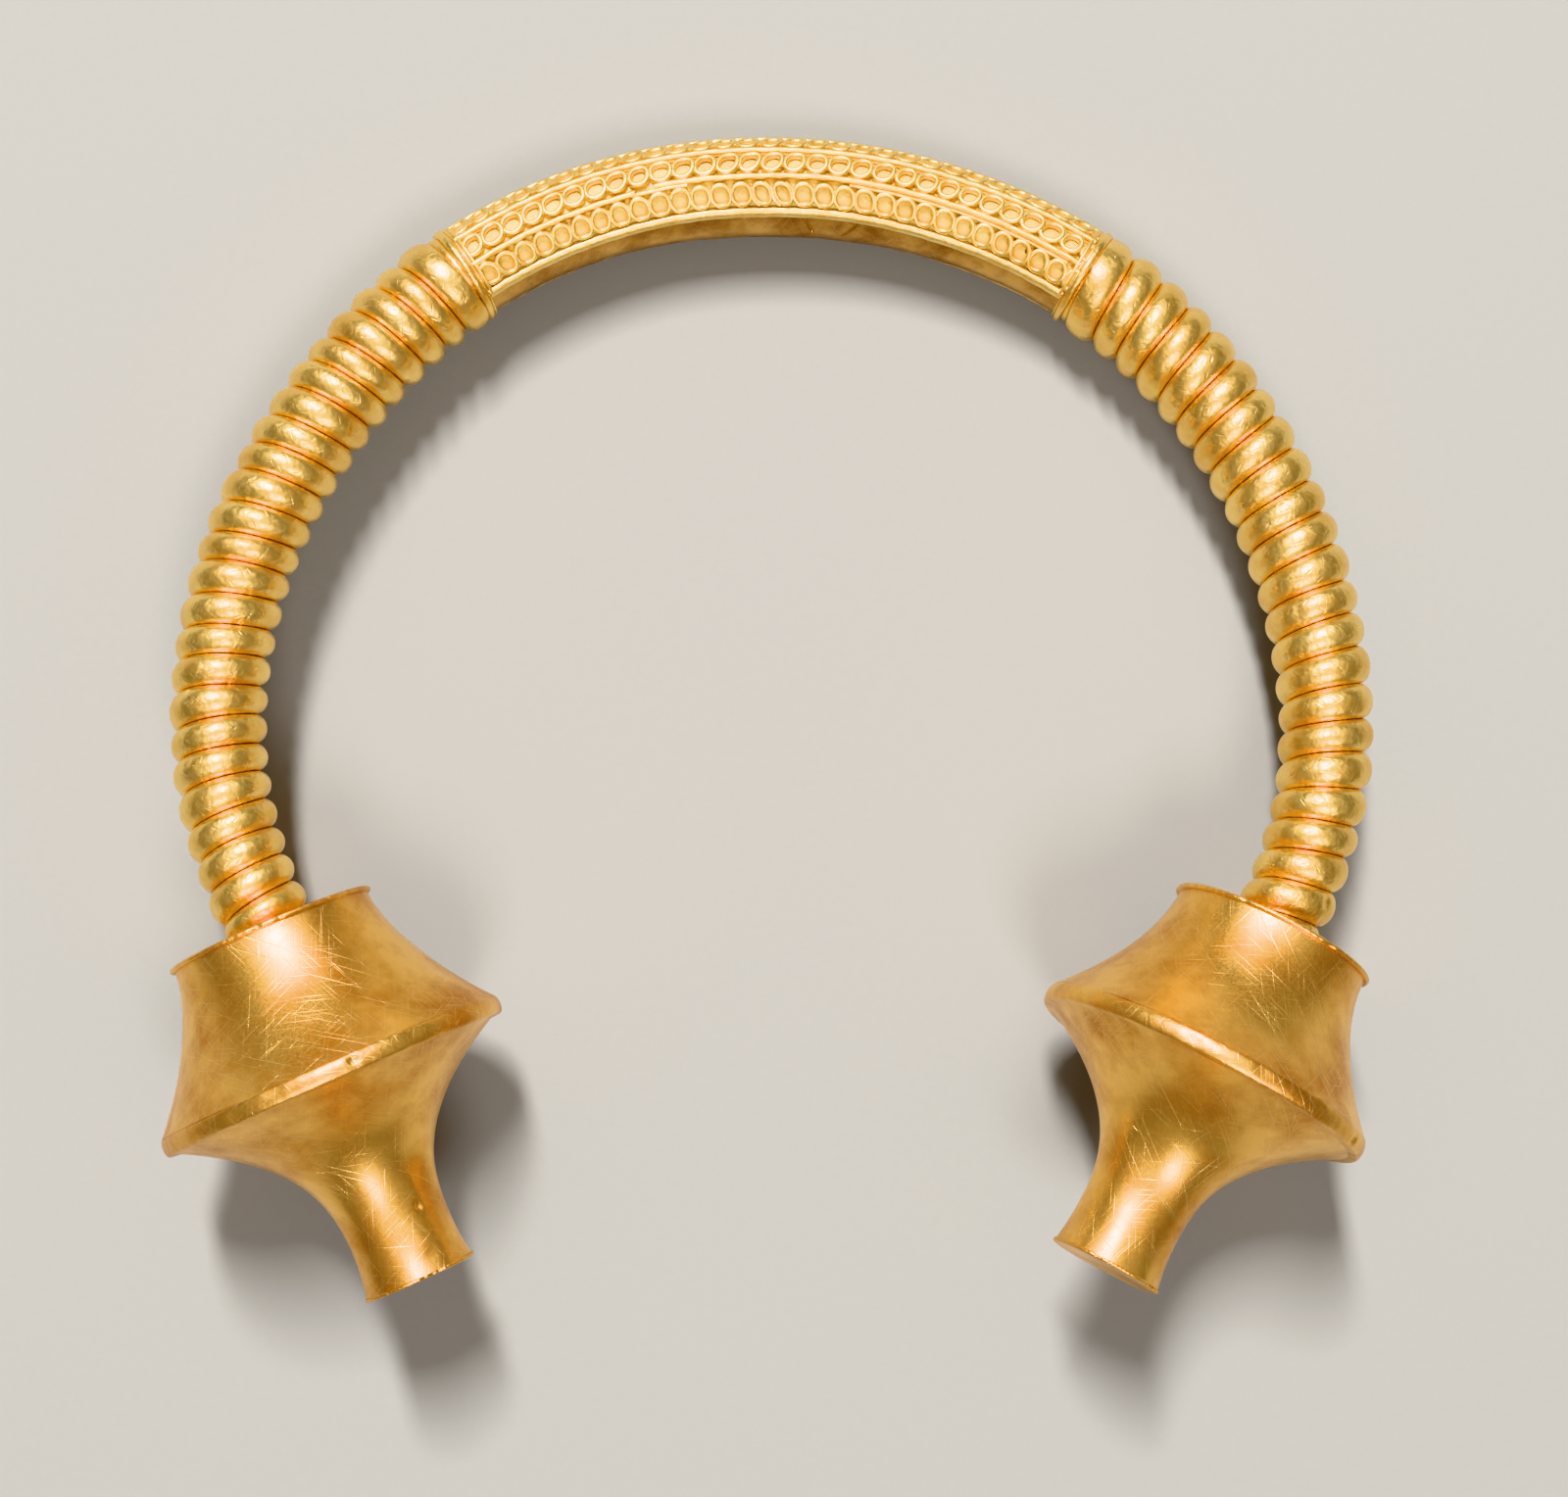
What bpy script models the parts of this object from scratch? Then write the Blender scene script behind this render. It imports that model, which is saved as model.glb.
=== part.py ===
# Gold torc: a C-shaped neck ring lying at rest.
#
# One bar runs round the hoop. Its middle third is swollen and carries rows of looped wire between
# straight wires, and thick wire is wound on its two limbs. A bead collar parts the middle from each
# winding. Each end carries a hollow terminal of two flared shells that meet at a banded flange,
# closed by a disc at top and end. The hollow terminals are solid here.
#
# Metres, +Z up. The hoop is drawn flat about its own centre, crown at +Y, and is then laid on the
# floor on three points: the crown and the two flanges.

import math

import bmesh
import bpy
from mathutils import Matrix, Vector

# Hoop: its centre line is a smooth curve about the hoop's centre. Each pair is an angle in degrees,
# counted from +X towards the crown at 90, and a radius as a share of HOOP_RADIUS.
HOOP_RADIUS = 0.100
HOOP_SHAPE = (
    (-27.6, 1.029),
    (-10.0, 1.031),
    (10.0, 1.004),
    (30.0, 0.980),
    (50.0, 0.961),
    (70.0, 0.936),
    (90.0, 0.923),
    (110.0, 0.930),
    (130.0, 0.942),
    (150.0, 0.955),
    (170.0, 0.985),
    (190.0, 1.014),
    (207.0, 1.017),
)
CURVE_SAMPLES = 480

# Clearance left between pieces that touch on the real torc
GAP = 0.0003

# Bar: the radius of its plain surface, and of the rods under the windings
CROWN_RADIUS = 0.0089
SHOULDER_RADIUS = 0.0085
ROD_CLEARANCE = 0.0010
ROD_SIDES = 8
ROD_STATIONS = 10

# Collars: a bead ring on each side of the bar's middle, at an angle round the hoop
RIGHT_COLLAR_ANGLE = 52.3
LEFT_COLLAR_ANGLE = 127.0
COLLAR_WIDTH = 0.0020
COLLAR_PROUD = 0.0010
COLLAR_SIDES = 16

# Ornament: seven lanes lie side by side round the bar, the central one on its outermost line. A row
# of loops fills each lane, and straight wires run between the lanes and along the edges
CENTRE_LANE = 0.0058
MIDDLE_LANE = 0.0059
EDGE_LANE = 0.0065
WIRE_WIDTH = 0.0010
WIRE_HEIGHT = 0.0006
LOOP_HEIGHT = 0.0007
EYE_DEPTH = 0.0004
LOOPS_IN_EDGE_ROW = 31
LOOPS_IN_ROW = 30
UNDERSIDE_ROWS = 3
PLAIN_LINES = 2
PLAIN_STATIONS = 12

# A loop's outline inside its lane, as shares of the lane: how far it reaches towards the wires, how
# far along its corners stand, and how far its top leans
LOOP_REACH = 0.42
LOOP_CORNER = 0.27
LOOP_LEAN = 0.07

# Windings: thick wire of D section wound close, right-handed on both limbs
LEFT_TURNS = 24.0
RIGHT_TURNS = 22.5
WINDING_RADIUS_AT_COLLAR = 0.0098
WINDING_RADIUS_AT_TERMINAL = 0.0083
WINDING_WIRE_DEPTH = 0.0040
TURN_GAP = 0.0003
TURN_SHOULDER = 0.0013
TURN_FLAT = 0.56
WIRE_RUN_OUT = 0.4
WIRE_TAPER = 0.0016
STEPS_PER_TURN = 9

# Terminals, measured along the axis from the top disc
DISC_RADIUS = 0.0193
DISC_THICKNESS = 0.0009
DISC_OVERHANG = 0.0004
LEFT_FLANGE_RADIUS = 0.0324
RIGHT_FLANGE_RADIUS = 0.0317
FLANGE_DISTANCE = 0.0288
BAND_WIDTH = 0.0034
BAND_PROUD = 0.0010
LEFT_UPPER_FLARE = 1.62
RIGHT_UPPER_FLARE = 1.8
NECK_RADIUS = 0.0094
NECK_DISTANCE = 0.0593
LOWER_FLARE = 2.6
END_RADIUS = 0.0105
END_THICKNESS = 0.0007
END_OVERHANG = 0.0003
TERMINAL_LENGTH = 0.0680
TERMINAL_SIDES = 20
UPPER_RINGS = 4
LOWER_RINGS = 5
END_RINGS = 2

# Each terminal's axis: the angle that it turns in from straight down the hoop's plane, and its lift
# out of that plane, in degrees
LEFT_AXIS_TURN = 23.7
LEFT_AXIS_LIFT = -2.6
RIGHT_AXIS_TURN = 28.6
RIGHT_AXIS_LIFT = 1.6

# Laying down
FIRST_TILT = 8.0
SETTLE_ROUNDS = 12

# Tones of the gold as linear colour, and how rough each is
WORN_GOLD = (0.83, 0.55, 0.20)
WORN_ROUGHNESS = 0.30
RUBBED_GOLD = (0.90, 0.64, 0.27)
RUBBED_ROUGHNESS = 0.24
WOUND_GOLD = (0.86, 0.57, 0.18)
WOUND_ROUGHNESS = 0.26
SHARP_EDGE = 50.0

COLLECTION = "gold_torc"


def clear_scene():
    for existing in list(bpy.data.objects):
        bpy.data.objects.remove(existing, do_unlink=True)


def gold(name, colour, roughness):
    """One Principled material; every piece is high-carat gold with its own tone."""
    material = bpy.data.materials.new(name)
    material.use_nodes = True
    shader = material.node_tree.nodes["Principled BSDF"]
    shader.inputs["Base Color"].default_value = (*colour, 1.0)
    shader.inputs["Roughness"].default_value = roughness
    shader.inputs["Metallic"].default_value = 1.0
    material.diffuse_color = (*colour, 1.0)
    return material


def add_object(name, mesh, parent, material):
    piece = bpy.data.objects.new(name, mesh)
    piece.parent = parent
    mesh.materials.append(material)
    bpy.data.collections[COLLECTION].objects.link(piece)
    return piece


def add_empty(name, parent=None, matrix=None):
    empty = bpy.data.objects.new(name, None)
    empty.parent = parent
    empty.matrix_local = matrix or Matrix.Identity(4)
    bpy.data.collections[COLLECTION].objects.link(empty)
    return empty


def closed_mesh(name, points, faces):
    """A mesh from computed points and faces, with its faces turned outwards."""
    mesh = bpy.data.meshes.new(name)
    mesh.from_pydata(points, [], faces)
    shape = bmesh.new()
    shape.from_mesh(mesh)
    bmesh.ops.recalc_face_normals(shape, faces=shape.faces)
    shape.to_mesh(mesh)
    shape.free()
    mesh.shade_smooth()
    mesh.set_sharp_from_angle(angle=math.radians(SHARP_EDGE))
    return mesh


def radius_at(angle):
    """The centre line's radius at an angle: a smooth curve through the pairs of HOOP_SHAPE."""
    last = len(HOOP_SHAPE) - 2
    index = max((i for i in range(last + 1) if HOOP_SHAPE[i][0] <= angle), default=0)
    (a0, r0), (a1, r1) = HOOP_SHAPE[index], HOOP_SHAPE[index + 1]
    before = HOOP_SHAPE[max(index - 1, 0)]
    after = HOOP_SHAPE[min(index + 2, last + 1)]
    slope0 = (r1 - before[1]) / (a1 - before[0])
    slope1 = (after[1] - r0) / (after[0] - a0)
    span = a1 - a0
    t = (angle - a0) / span
    share = (
        (2 * t**3 - 3 * t**2 + 1) * r0
        + (t**3 - 2 * t**2 + t) * span * slope0
        + (3 * t**2 - 2 * t**3) * r1
        + (t**3 - t**2) * span * slope1
    )
    return share * HOOP_RADIUS


def hoop_point(angle):
    turn = math.radians(angle)
    return Vector((math.cos(turn), math.sin(turn), 0.0)) * radius_at(angle)


class CentreLine:
    """The hoop's centre line by length, counted from the right end over the crown to the left end."""

    def __init__(self):
        first, last = HOOP_SHAPE[0][0], HOOP_SHAPE[-1][0]
        self.angles = [first + (last - first) * i / CURVE_SAMPLES for i in range(CURVE_SAMPLES + 1)]
        self.points = [hoop_point(angle) for angle in self.angles]
        self.lengths = [0.0]
        for here, there in zip(self.points, self.points[1:]):
            self.lengths.append(self.lengths[-1] + (there - here).length)
        self.total = self.lengths[-1]

    def length_at(self, angle):
        share = (angle - self.angles[0]) / (self.angles[-1] - self.angles[0]) * CURVE_SAMPLES
        low = min(int(share), CURVE_SAMPLES - 1)
        return self.lengths[low] + (share - low) * (self.lengths[low + 1] - self.lengths[low])

    def frame(self, length):
        """Centre, direction of travel and outward direction; past an end it runs on straight."""
        low = 0
        while low < CURVE_SAMPLES - 1 and self.lengths[low + 1] < length:
            low += 1
        step = self.points[low + 1] - self.points[low]
        travel = step.normalized()
        centre = self.points[low] + travel * (length - self.lengths[low])
        before = self.points[max(low - 1, 0)]
        after = self.points[min(low + 2, CURVE_SAMPLES)]
        share = min(max((length - self.lengths[low]) / step.length, 0.0), 1.0)
        smooth = (self.points[low + 1] - before).lerp(after - self.points[low], share).normalized()
        outward = Vector((smooth.y, -smooth.x, 0.0))
        return centre, smooth, outward

    def around(self, length, angle, radius):
        """A point round the bar; angle 0 is outermost and a quarter turn is the face on top."""
        centre, _, outward = self.frame(length)
        return centre + (outward * math.cos(angle) + Vector((0, 0, math.sin(angle)))) * radius


def spread(count):
    return [i / count for i in range(count + 1)]


class Skin:
    """Collects the points and faces of one closed skin."""

    def __init__(self):
        self.points = []
        self.faces = []

    def point(self, place):
        self.points.append(place)
        return len(self.points) - 1

    def join(self, line_a, line_b):
        """Triangles between two lines of (station, index); the lines may hold unlike counts."""
        i = j = 0
        while i < len(line_a) - 1 or j < len(line_b) - 1:
            step_a = line_a[i + 1][0] if i < len(line_a) - 1 else math.inf
            step_b = line_b[j + 1][0] if j < len(line_b) - 1 else math.inf
            if step_a <= step_b:
                self.faces.append((line_a[i][1], line_a[i + 1][1], line_b[j][1]))
                i += 1
            else:
                self.faces.append((line_a[i][1], line_b[j + 1][1], line_b[j][1]))
                j += 1


def middle_radius(share):
    """The bar swells from its shoulders to the crown."""
    swell = math.sin(math.pi * share) ** 2
    return SHOULDER_RADIUS + (CROWN_RADIUS - SHOULDER_RADIUS) * swell


def wound_radius(limb_share):
    """The radius over the turns; limb_share runs from the collar to the terminal."""
    share = min(max(limb_share, 0.0), 1.0)
    return WINDING_RADIUS_AT_COLLAR + (WINDING_RADIUS_AT_TERMINAL - WINDING_RADIUS_AT_COLLAR) * share


def rod_radius(limb_share):
    """The rod under a winding."""
    return wound_radius(limb_share) - WINDING_WIRE_DEPTH - ROD_CLEARANCE


def ornament_line(skin, line, start, end, arc, height, count):
    """One line of points along the bar's middle, at an arc from its outermost line."""
    found = []
    for share in spread(count):
        radius = middle_radius(share)
        place = line.around(start + (end - start) * share, arc / radius, radius + height)
        found.append((share, skin.point(place)))
    return found


def loop_row(skin, line, start, end, low, high, arcs):
    """A row of raised loops between two lines of points; neighbours touch at their sides."""
    count = len(low) - 1
    middle_arc = (arcs[0] + arcs[1]) / 2
    reach = (arcs[1] - arcs[0]) * LOOP_REACH

    def place(share, arc, height):
        radius = middle_radius(share)
        length = start + (end - start) * share
        return skin.point(line.around(length, arc / radius, radius + height))

    sides = [place(share, middle_arc, LOOP_HEIGHT) for share in spread(count)]
    for k in range(count):
        left, right = low[k][0], low[k + 1][0]
        corner = (right - left) * LOOP_CORNER
        lean = (right - left) * LOOP_LEAN
        top = [
            place(left + corner - lean, middle_arc + reach, LOOP_HEIGHT),
            place(right - corner - lean, middle_arc + reach, LOOP_HEIGHT),
        ]
        foot = [
            place(left + corner + lean, middle_arc - reach, LOOP_HEIGHT),
            place(right - corner + lean, middle_arc - reach, LOOP_HEIGHT),
        ]
        floor = place((left + right) / 2, middle_arc, -EYE_DEPTH)
        ring = [sides[k], foot[0], foot[1], sides[k + 1], top[1], top[0]]
        for here, there in zip(ring, ring[1:] + ring[:1]):
            skin.faces.append((here, there, floor))
        for edge, pair in ((low, foot), (high, top)):
            skin.faces.append((edge[k][1], edge[k + 1][1], pair[1], pair[0]))
            skin.faces.append((edge[k][1], pair[0], sides[k]))
            skin.faces.append((edge[k + 1][1], sides[k + 1], pair[1]))


def pit_row(skin, line, start, end, low, high, arcs):
    """The plainer row on the underside: a pit where each loop's eye is."""
    middle_arc = (arcs[0] + arcs[1]) / 2

    def place(share, height):
        radius = middle_radius(share)
        length = start + (end - start) * share
        return skin.point(line.around(length, middle_arc / radius, radius + height))

    sides = [place(share, WIRE_HEIGHT) for share, _ in low]
    for k in range(len(low) - 1):
        floor = place((low[k][0] + low[k + 1][0]) / 2, -EYE_DEPTH)
        ring = [low[k][1], low[k + 1][1], sides[k + 1], high[k + 1][1], high[k][1], sides[k]]
        for here, there in zip(ring, ring[1:] + ring[:1]):
            skin.faces.append((here, there, floor))


def ornament(skin, line, start, end):
    """The middle of the bar, open at its two ends."""
    inmost = CENTRE_LANE / 2
    one_side = [inmost, inmost + MIDDLE_LANE, inmost + 2 * MIDDLE_LANE]
    one_side.append(one_side[-1] + EDGE_LANE)
    wires = [-arc for arc in reversed(one_side)] + one_side
    lanes = len(wires) - 1
    half = WIRE_WIDTH / 2
    previous = None
    for number, arc in enumerate(wires):
        before = number - 1
        loops_before = LOOPS_IN_EDGE_ROW if before in (0, lanes - 1) else LOOPS_IN_ROW
        loops_after = LOOPS_IN_EDGE_ROW if number in (0, lanes - 1) else LOOPS_IN_ROW
        plain_before = before < UNDERSIDE_ROWS
        plain_after = number < UNDERSIDE_ROWS
        if number > 0:
            height = WIRE_HEIGHT if plain_before else 0.0
            foot_before = ornament_line(skin, line, start, end, arc - half, height, loops_before)
            row = pit_row if plain_before else loop_row
            row(skin, line, start, end, previous, foot_before, (wires[before] + half, arc - half))
        else:
            foot_before = ornament_line(skin, line, start, end, arc - half, 0.0, PLAIN_STATIONS)
        if number < lanes:
            height = WIRE_HEIGHT if plain_after else 0.0
            foot_after = ornament_line(skin, line, start, end, arc + half, height, loops_after)
        else:
            foot_after = ornament_line(skin, line, start, end, arc + half, 0.0, PLAIN_STATIONS)
        if 0 < number < UNDERSIDE_ROWS:
            skin.join(foot_before, foot_after)
        else:
            ridge = ornament_line(skin, line, start, end, arc, WIRE_HEIGHT, LOOPS_IN_ROW)
            skin.join(foot_before, ridge)
            skin.join(ridge, foot_after)
        if number == 0:
            first_line = foot_before
        previous = foot_after

    inner = []
    edge = wires[-1] + half
    for number in range(1, PLAIN_LINES + 1):
        found = []
        for share in spread(PLAIN_STATIONS):
            radius = middle_radius(share)
            edge_angle = edge / radius
            angle = edge_angle + (2 * math.pi - 2 * edge_angle) * number / (PLAIN_LINES + 1)
            place = line.around(start + (end - start) * share, angle, radius)
            found.append((share, skin.point(place)))
        inner.append(found)
    for here, there in zip([previous] + inner, inner + [first_line]):
        skin.join(here, there)


def open_ring(skin, line, length):
    """The unjoined points at one end of the middle, once round the bar, as (angle, index)."""
    uses = {}
    for face in skin.faces:
        for pair in zip(face, face[1:] + face[:1]):
            edge = tuple(sorted(pair))
            uses[edge] = uses.get(edge, 0) + 1
    centre, travel, outward = line.frame(length)
    ring = []
    for index in {i for edge, count in uses.items() if count == 1 for i in edge}:
        offset = skin.points[index] - centre
        if abs(offset.dot(travel)) < WIRE_WIDTH and offset.length < 2 * CROWN_RADIUS:
            ring.append((math.atan2(offset.z, offset.dot(outward)) % (2 * math.pi), index))
    return sorted(ring)


def rod_ring(skin, line, length, radius):
    ring = []
    for side in range(ROD_SIDES):
        angle = 2 * math.pi * side / ROD_SIDES
        ring.append((angle, skin.point(line.around(length, angle, radius))))
    return ring


def once_round(ring):
    """The same ring, closed: its first point comes again a full turn on."""
    return ring + [(ring[0][0] + 2 * math.pi, ring[0][1])]


def bar_mesh(line, places):
    """The whole bar: a rod, the ornamented middle and the other rod, as one skin."""
    skin = Skin()
    start, end = places["middle"]
    ornament(skin, line, start, end)
    for side, edge in (("right", start), ("left", end)):
        limb_start, limb_end = places[side]
        ring = open_ring(skin, line, edge)
        stations = [edge] + [limb_start + (limb_end - limb_start) * s for s in spread(ROD_STATIONS)]
        for station in stations:
            limb_share = (station - limb_start) / (limb_end - limb_start)
            following = rod_ring(skin, line, station, rod_radius(limb_share))
            skin.join(once_round(ring), once_round(following))
            ring = following
        skin.faces.append(tuple(index for _, index in ring))
    return closed_mesh("gold_bar", skin.points, skin.faces)


def trimmed(place, travel, plane):
    """Moves a point that lies past a plane back onto it, along the bar."""
    point, normal = plane
    past = (place - point).dot(normal)
    return place - travel * (past / travel.dot(normal)) if past > 0 else place


def winding_mesh(name, line, limb, turns, sign, disc_plane):
    """Thick wire wound round a limb, from the collar to the terminal's disc.

    Its width follows the bend. At each end the wire is hammered thin where it runs out against its
    neighbour. sign is +1 where the line runs from the terminal to the collar, which keeps both
    windings right-handed.
    """
    terminal_end, collar_end = limb
    limb_length = abs(collar_end - terminal_end)
    pitch = limb_length / turns
    half = (pitch - TURN_GAP) / 2
    profile = (
        (-half, TURN_SHOULDER),
        (-half * TURN_FLAT, 0.0),
        (half * TURN_FLAT, 0.0),
        (half, TURN_SHOULDER),
        (0.0, WINDING_WIRE_DEPTH),
    )
    points = []
    first = -round((0.5 + WIRE_RUN_OUT) * STEPS_PER_TURN)
    last = round((turns - 0.5 + WIRE_RUN_OUT) * STEPS_PER_TURN)
    away = -sign
    for step in range(first, last + 1):
        turn = step / STEPS_PER_TURN
        wire_centre = pitch * (0.5 + turn)
        near = max(wire_centre - half, 0.0)
        far = min(wire_centre + half, limb_length)
        thinned = (far - near) / (2 * half)
        angle = sign * 2 * math.pi * turn
        for along, depth in profile:
            length = collar_end + away * ((near + far) / 2 + along * thinned)
            sunk = WIRE_TAPER * (1 - thinned) * (1 - depth / WINDING_WIRE_DEPTH)
            radius = wound_radius(wire_centre / limb_length) - depth - sunk
            travel = line.frame(length)[1]
            points.append(trimmed(line.around(length, angle, radius), travel, disc_plane))
    size = len(profile)
    faces = []
    rings = len(points) // size
    for ring in range(rings - 1):
        for corner in range(size):
            a, b = ring * size + corner, ring * size + (corner + 1) % size
            faces.append((a, b, b + size, a + size))
    faces.append(tuple(range(size)))
    faces.append(tuple(range((rings - 1) * size, rings * size)))
    return closed_mesh(name, points, faces)


def turned(name, profile, sides, parent, material, closed=False):
    """A turned piece: the profile's (radius, height) points run down its outer side."""
    mesh = bpy.data.meshes.new(name)
    points = [(radius, 0.0, height) for radius, height in profile]
    edges = [(i, i + 1) for i in range(len(points) - 1)]
    if closed:
        edges.append((len(points) - 1, 0))
    mesh.from_pydata(points, edges, [])
    piece = add_object(name, mesh, parent, material)
    screw = piece.modifiers.new("Turned", "SCREW")
    screw.axis = "Z"
    screw.angle = 2 * math.pi
    screw.steps = sides
    screw.render_steps = sides
    screw.use_merge_vertices = True
    screw.merge_threshold = 0.00001
    screw.use_smooth_shade = True
    return piece


def collar(name, line, length, neighbour_radius, parent, material):
    """A bead ring round the bar; its bore clears the rod."""
    outer = neighbour_radius + COLLAR_PROUD
    bore = rod_radius(0.0) + ROD_CLEARANCE
    half = COLLAR_WIDTH / 2
    profile = (
        (outer - half / 2, half),
        (outer, 0.0),
        (outer - half / 2, -half),
        (bore, -half),
        (bore, half),
    )
    piece = turned(name, profile, COLLAR_SIDES, parent, material, closed=True)
    centre, travel, _ = line.frame(length)
    piece.matrix_local = Matrix.Translation(centre) @ travel.to_track_quat("Z", "Y").to_matrix().to_4x4()
    return piece


def terminal(side, line_end, turn, lift, flange_radius, upper_flare, root, material):
    """Five pieces on one axis. The axis is local -Z, and the top disc's face is its origin."""
    mirror = -1 if side == "right" else 1
    turn = math.radians(turn)
    lift = math.radians(lift)
    axis = Vector(
        (mirror * math.sin(turn) * math.cos(lift), -math.cos(turn) * math.cos(lift), math.sin(lift))
    )
    place = line_end + axis * GAP
    frame = (-axis).to_track_quat("Z", "Y").to_matrix().to_4x4()
    holder = add_empty(side + "_terminal", root, Matrix.Translation(place) @ frame)

    chamfer = DISC_THICKNESS / 3
    turned(side + "_top_disc", (
        (0.0, 0.0),
        (DISC_RADIUS - chamfer, 0.0),
        (DISC_RADIUS, -chamfer),
        (DISC_RADIUS, -DISC_THICKNESS),
        (0.0, -DISC_THICKNESS),
    ), TERMINAL_SIDES, holder, material)

    upper_top = DISC_THICKNESS + GAP
    upper_bottom = FLANGE_DISTANCE - BAND_WIDTH / 2 - GAP
    upper_radius = DISC_RADIUS - DISC_OVERHANG
    rim_radius = flange_radius - BAND_PROUD
    outline = [(0.0, -upper_top)]
    for share in spread(UPPER_RINGS):
        flare = share**upper_flare
        outline.append((
            upper_radius + (rim_radius - upper_radius) * flare,
            -(upper_top + (upper_bottom - upper_top) * share),
        ))
    outline.append((0.0, -upper_bottom))
    turned(side + "_upper_shell", outline, TERMINAL_SIDES, holder, material)

    band_top = FLANGE_DISTANCE - BAND_WIDTH / 2
    band_bottom = FLANGE_DISTANCE + BAND_WIDTH / 2
    turned(side + "_flange_band", (
        (0.0, -band_top),
        (rim_radius, -band_top),
        (flange_radius, -(FLANGE_DISTANCE - BAND_WIDTH / 6)),
        (flange_radius, -(FLANGE_DISTANCE + BAND_WIDTH / 6)),
        (rim_radius, -band_bottom),
        (0.0, -band_bottom),
    ), TERMINAL_SIDES, holder, material)

    lower_top = band_bottom + GAP
    lower_bottom = TERMINAL_LENGTH - END_THICKNESS - GAP
    lower_radius = rim_radius - BAND_PROUD
    outline = [(0.0, -lower_top)]
    for share in spread(LOWER_RINGS):
        narrowing = (1 - share) ** LOWER_FLARE
        outline.append((
            NECK_RADIUS + (lower_radius - NECK_RADIUS) * narrowing,
            -(lower_top + (NECK_DISTANCE - lower_top) * share),
        ))
    for share in spread(END_RINGS)[1:]:
        outline.append((
            NECK_RADIUS + (END_RADIUS - END_OVERHANG - NECK_RADIUS) * share**2,
            -(NECK_DISTANCE + (lower_bottom - NECK_DISTANCE) * share),
        ))
    outline.append((0.0, -lower_bottom))
    turned(side + "_lower_shell", outline, TERMINAL_SIDES, holder, material)

    turned(side + "_end_disc", (
        (0.0, -(TERMINAL_LENGTH - END_THICKNESS)),
        (END_RADIUS, -(TERMINAL_LENGTH - END_THICKNESS)),
        (END_RADIUS, -TERMINAL_LENGTH),
        (0.0, -TERMINAL_LENGTH),
    ), TERMINAL_SIDES, holder, material)
    return place, axis


def evaluated_points(pieces):
    depsgraph = bpy.context.evaluated_depsgraph_get()
    points = []
    for piece in pieces:
        mesh = piece.evaluated_get(depsgraph).to_mesh()
        points += [piece.matrix_world @ vertex.co for vertex in mesh.vertices]
        piece.evaluated_get(depsgraph).to_mesh_clear()
    return points


def lay_down(root):
    """Turns the torc onto the floor: the bar and the two terminals each touch it once."""
    pieces = [o for o in bpy.data.collections[COLLECTION].objects if o.type == "MESH"]
    bpy.context.view_layer.update()
    rests = [
        evaluated_points([o for o in pieces if o.name == "bar"]),
        evaluated_points([o for o in pieces if o.name.startswith("left_flange")]),
        evaluated_points([o for o in pieces if o.name.startswith("right_flange")]),
    ]
    turn = Matrix.Rotation(math.radians(-FIRST_TILT), 3, "X")
    for _ in range(SETTLE_ROUNDS):
        low = [min((turn @ point for point in points), key=lambda p: p.z) for points in rests]
        normal = (low[1] - low[0]).cross(low[2] - low[0])
        if normal.z < 0:
            normal.negate()
        turn = normal.rotation_difference(Vector((0, 0, 1))).to_matrix() @ turn
    placed = [turn @ point for point in evaluated_points(pieces)]
    lows = [min(point[i] for point in placed) for i in range(3)]
    highs = [max(point[i] for point in placed) for i in range(3)]
    shift = Vector((-(lows[0] + highs[0]) / 2, -(lows[1] + highs[1]) / 2, -lows[2]))
    root.matrix_world = Matrix.Translation(shift) @ turn.to_4x4()


def build():
    clear_scene()
    collection = bpy.data.collections.new(COLLECTION)
    bpy.context.scene.collection.children.link(collection)

    warm = gold("worn_gold", WORN_GOLD, WORN_ROUGHNESS)
    bright = gold("rubbed_gold", RUBBED_GOLD, RUBBED_ROUGHNESS)
    deep = gold("wound_gold", WOUND_GOLD, WOUND_ROUGHNESS)

    root = add_empty("torc")
    line = CentreLine()
    right_collar = line.length_at(RIGHT_COLLAR_ANGLE)
    left_collar = line.length_at(LEFT_COLLAR_ANGLE)
    beside = COLLAR_WIDTH / 2 + GAP
    end_clearance = GAP + ROD_CLEARANCE
    places = {
        "middle": (right_collar + beside, left_collar - beside),
        "right": (right_collar - beside, end_clearance),
        "left": (left_collar + beside, line.total - end_clearance),
    }

    add_object("bar", bar_mesh(line, places), root, bright)
    for side, length in (("right", right_collar), ("left", left_collar)):
        collar(side + "_collar", line, length, SHOULDER_RADIUS, root, bright)

    right_shape = (RIGHT_AXIS_TURN, RIGHT_AXIS_LIFT, RIGHT_FLANGE_RADIUS, RIGHT_UPPER_FLARE)
    left_shape = (LEFT_AXIS_TURN, LEFT_AXIS_LIFT, LEFT_FLANGE_RADIUS, LEFT_UPPER_FLARE)
    sides = (
        ("right", 0.0, right_shape, RIGHT_TURNS, 1),
        ("left", line.total, left_shape, LEFT_TURNS, -1),
    )
    for side, end, shape, turns, sign in sides:
        place, axis = terminal(side, line.frame(end)[0], *shape, root, warm)
        collar_end = places[side][0]
        disc_plane = (place - axis * GAP, axis)
        mesh = winding_mesh(side + "_wire", line, (end, collar_end), turns, sign, disc_plane)
        add_object(side + "_winding", mesh, root, deep)

    lay_down(root)


build()
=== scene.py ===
import math

import bmesh
import bpy
import numpy as np
from mathutils import Matrix, Vector


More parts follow.
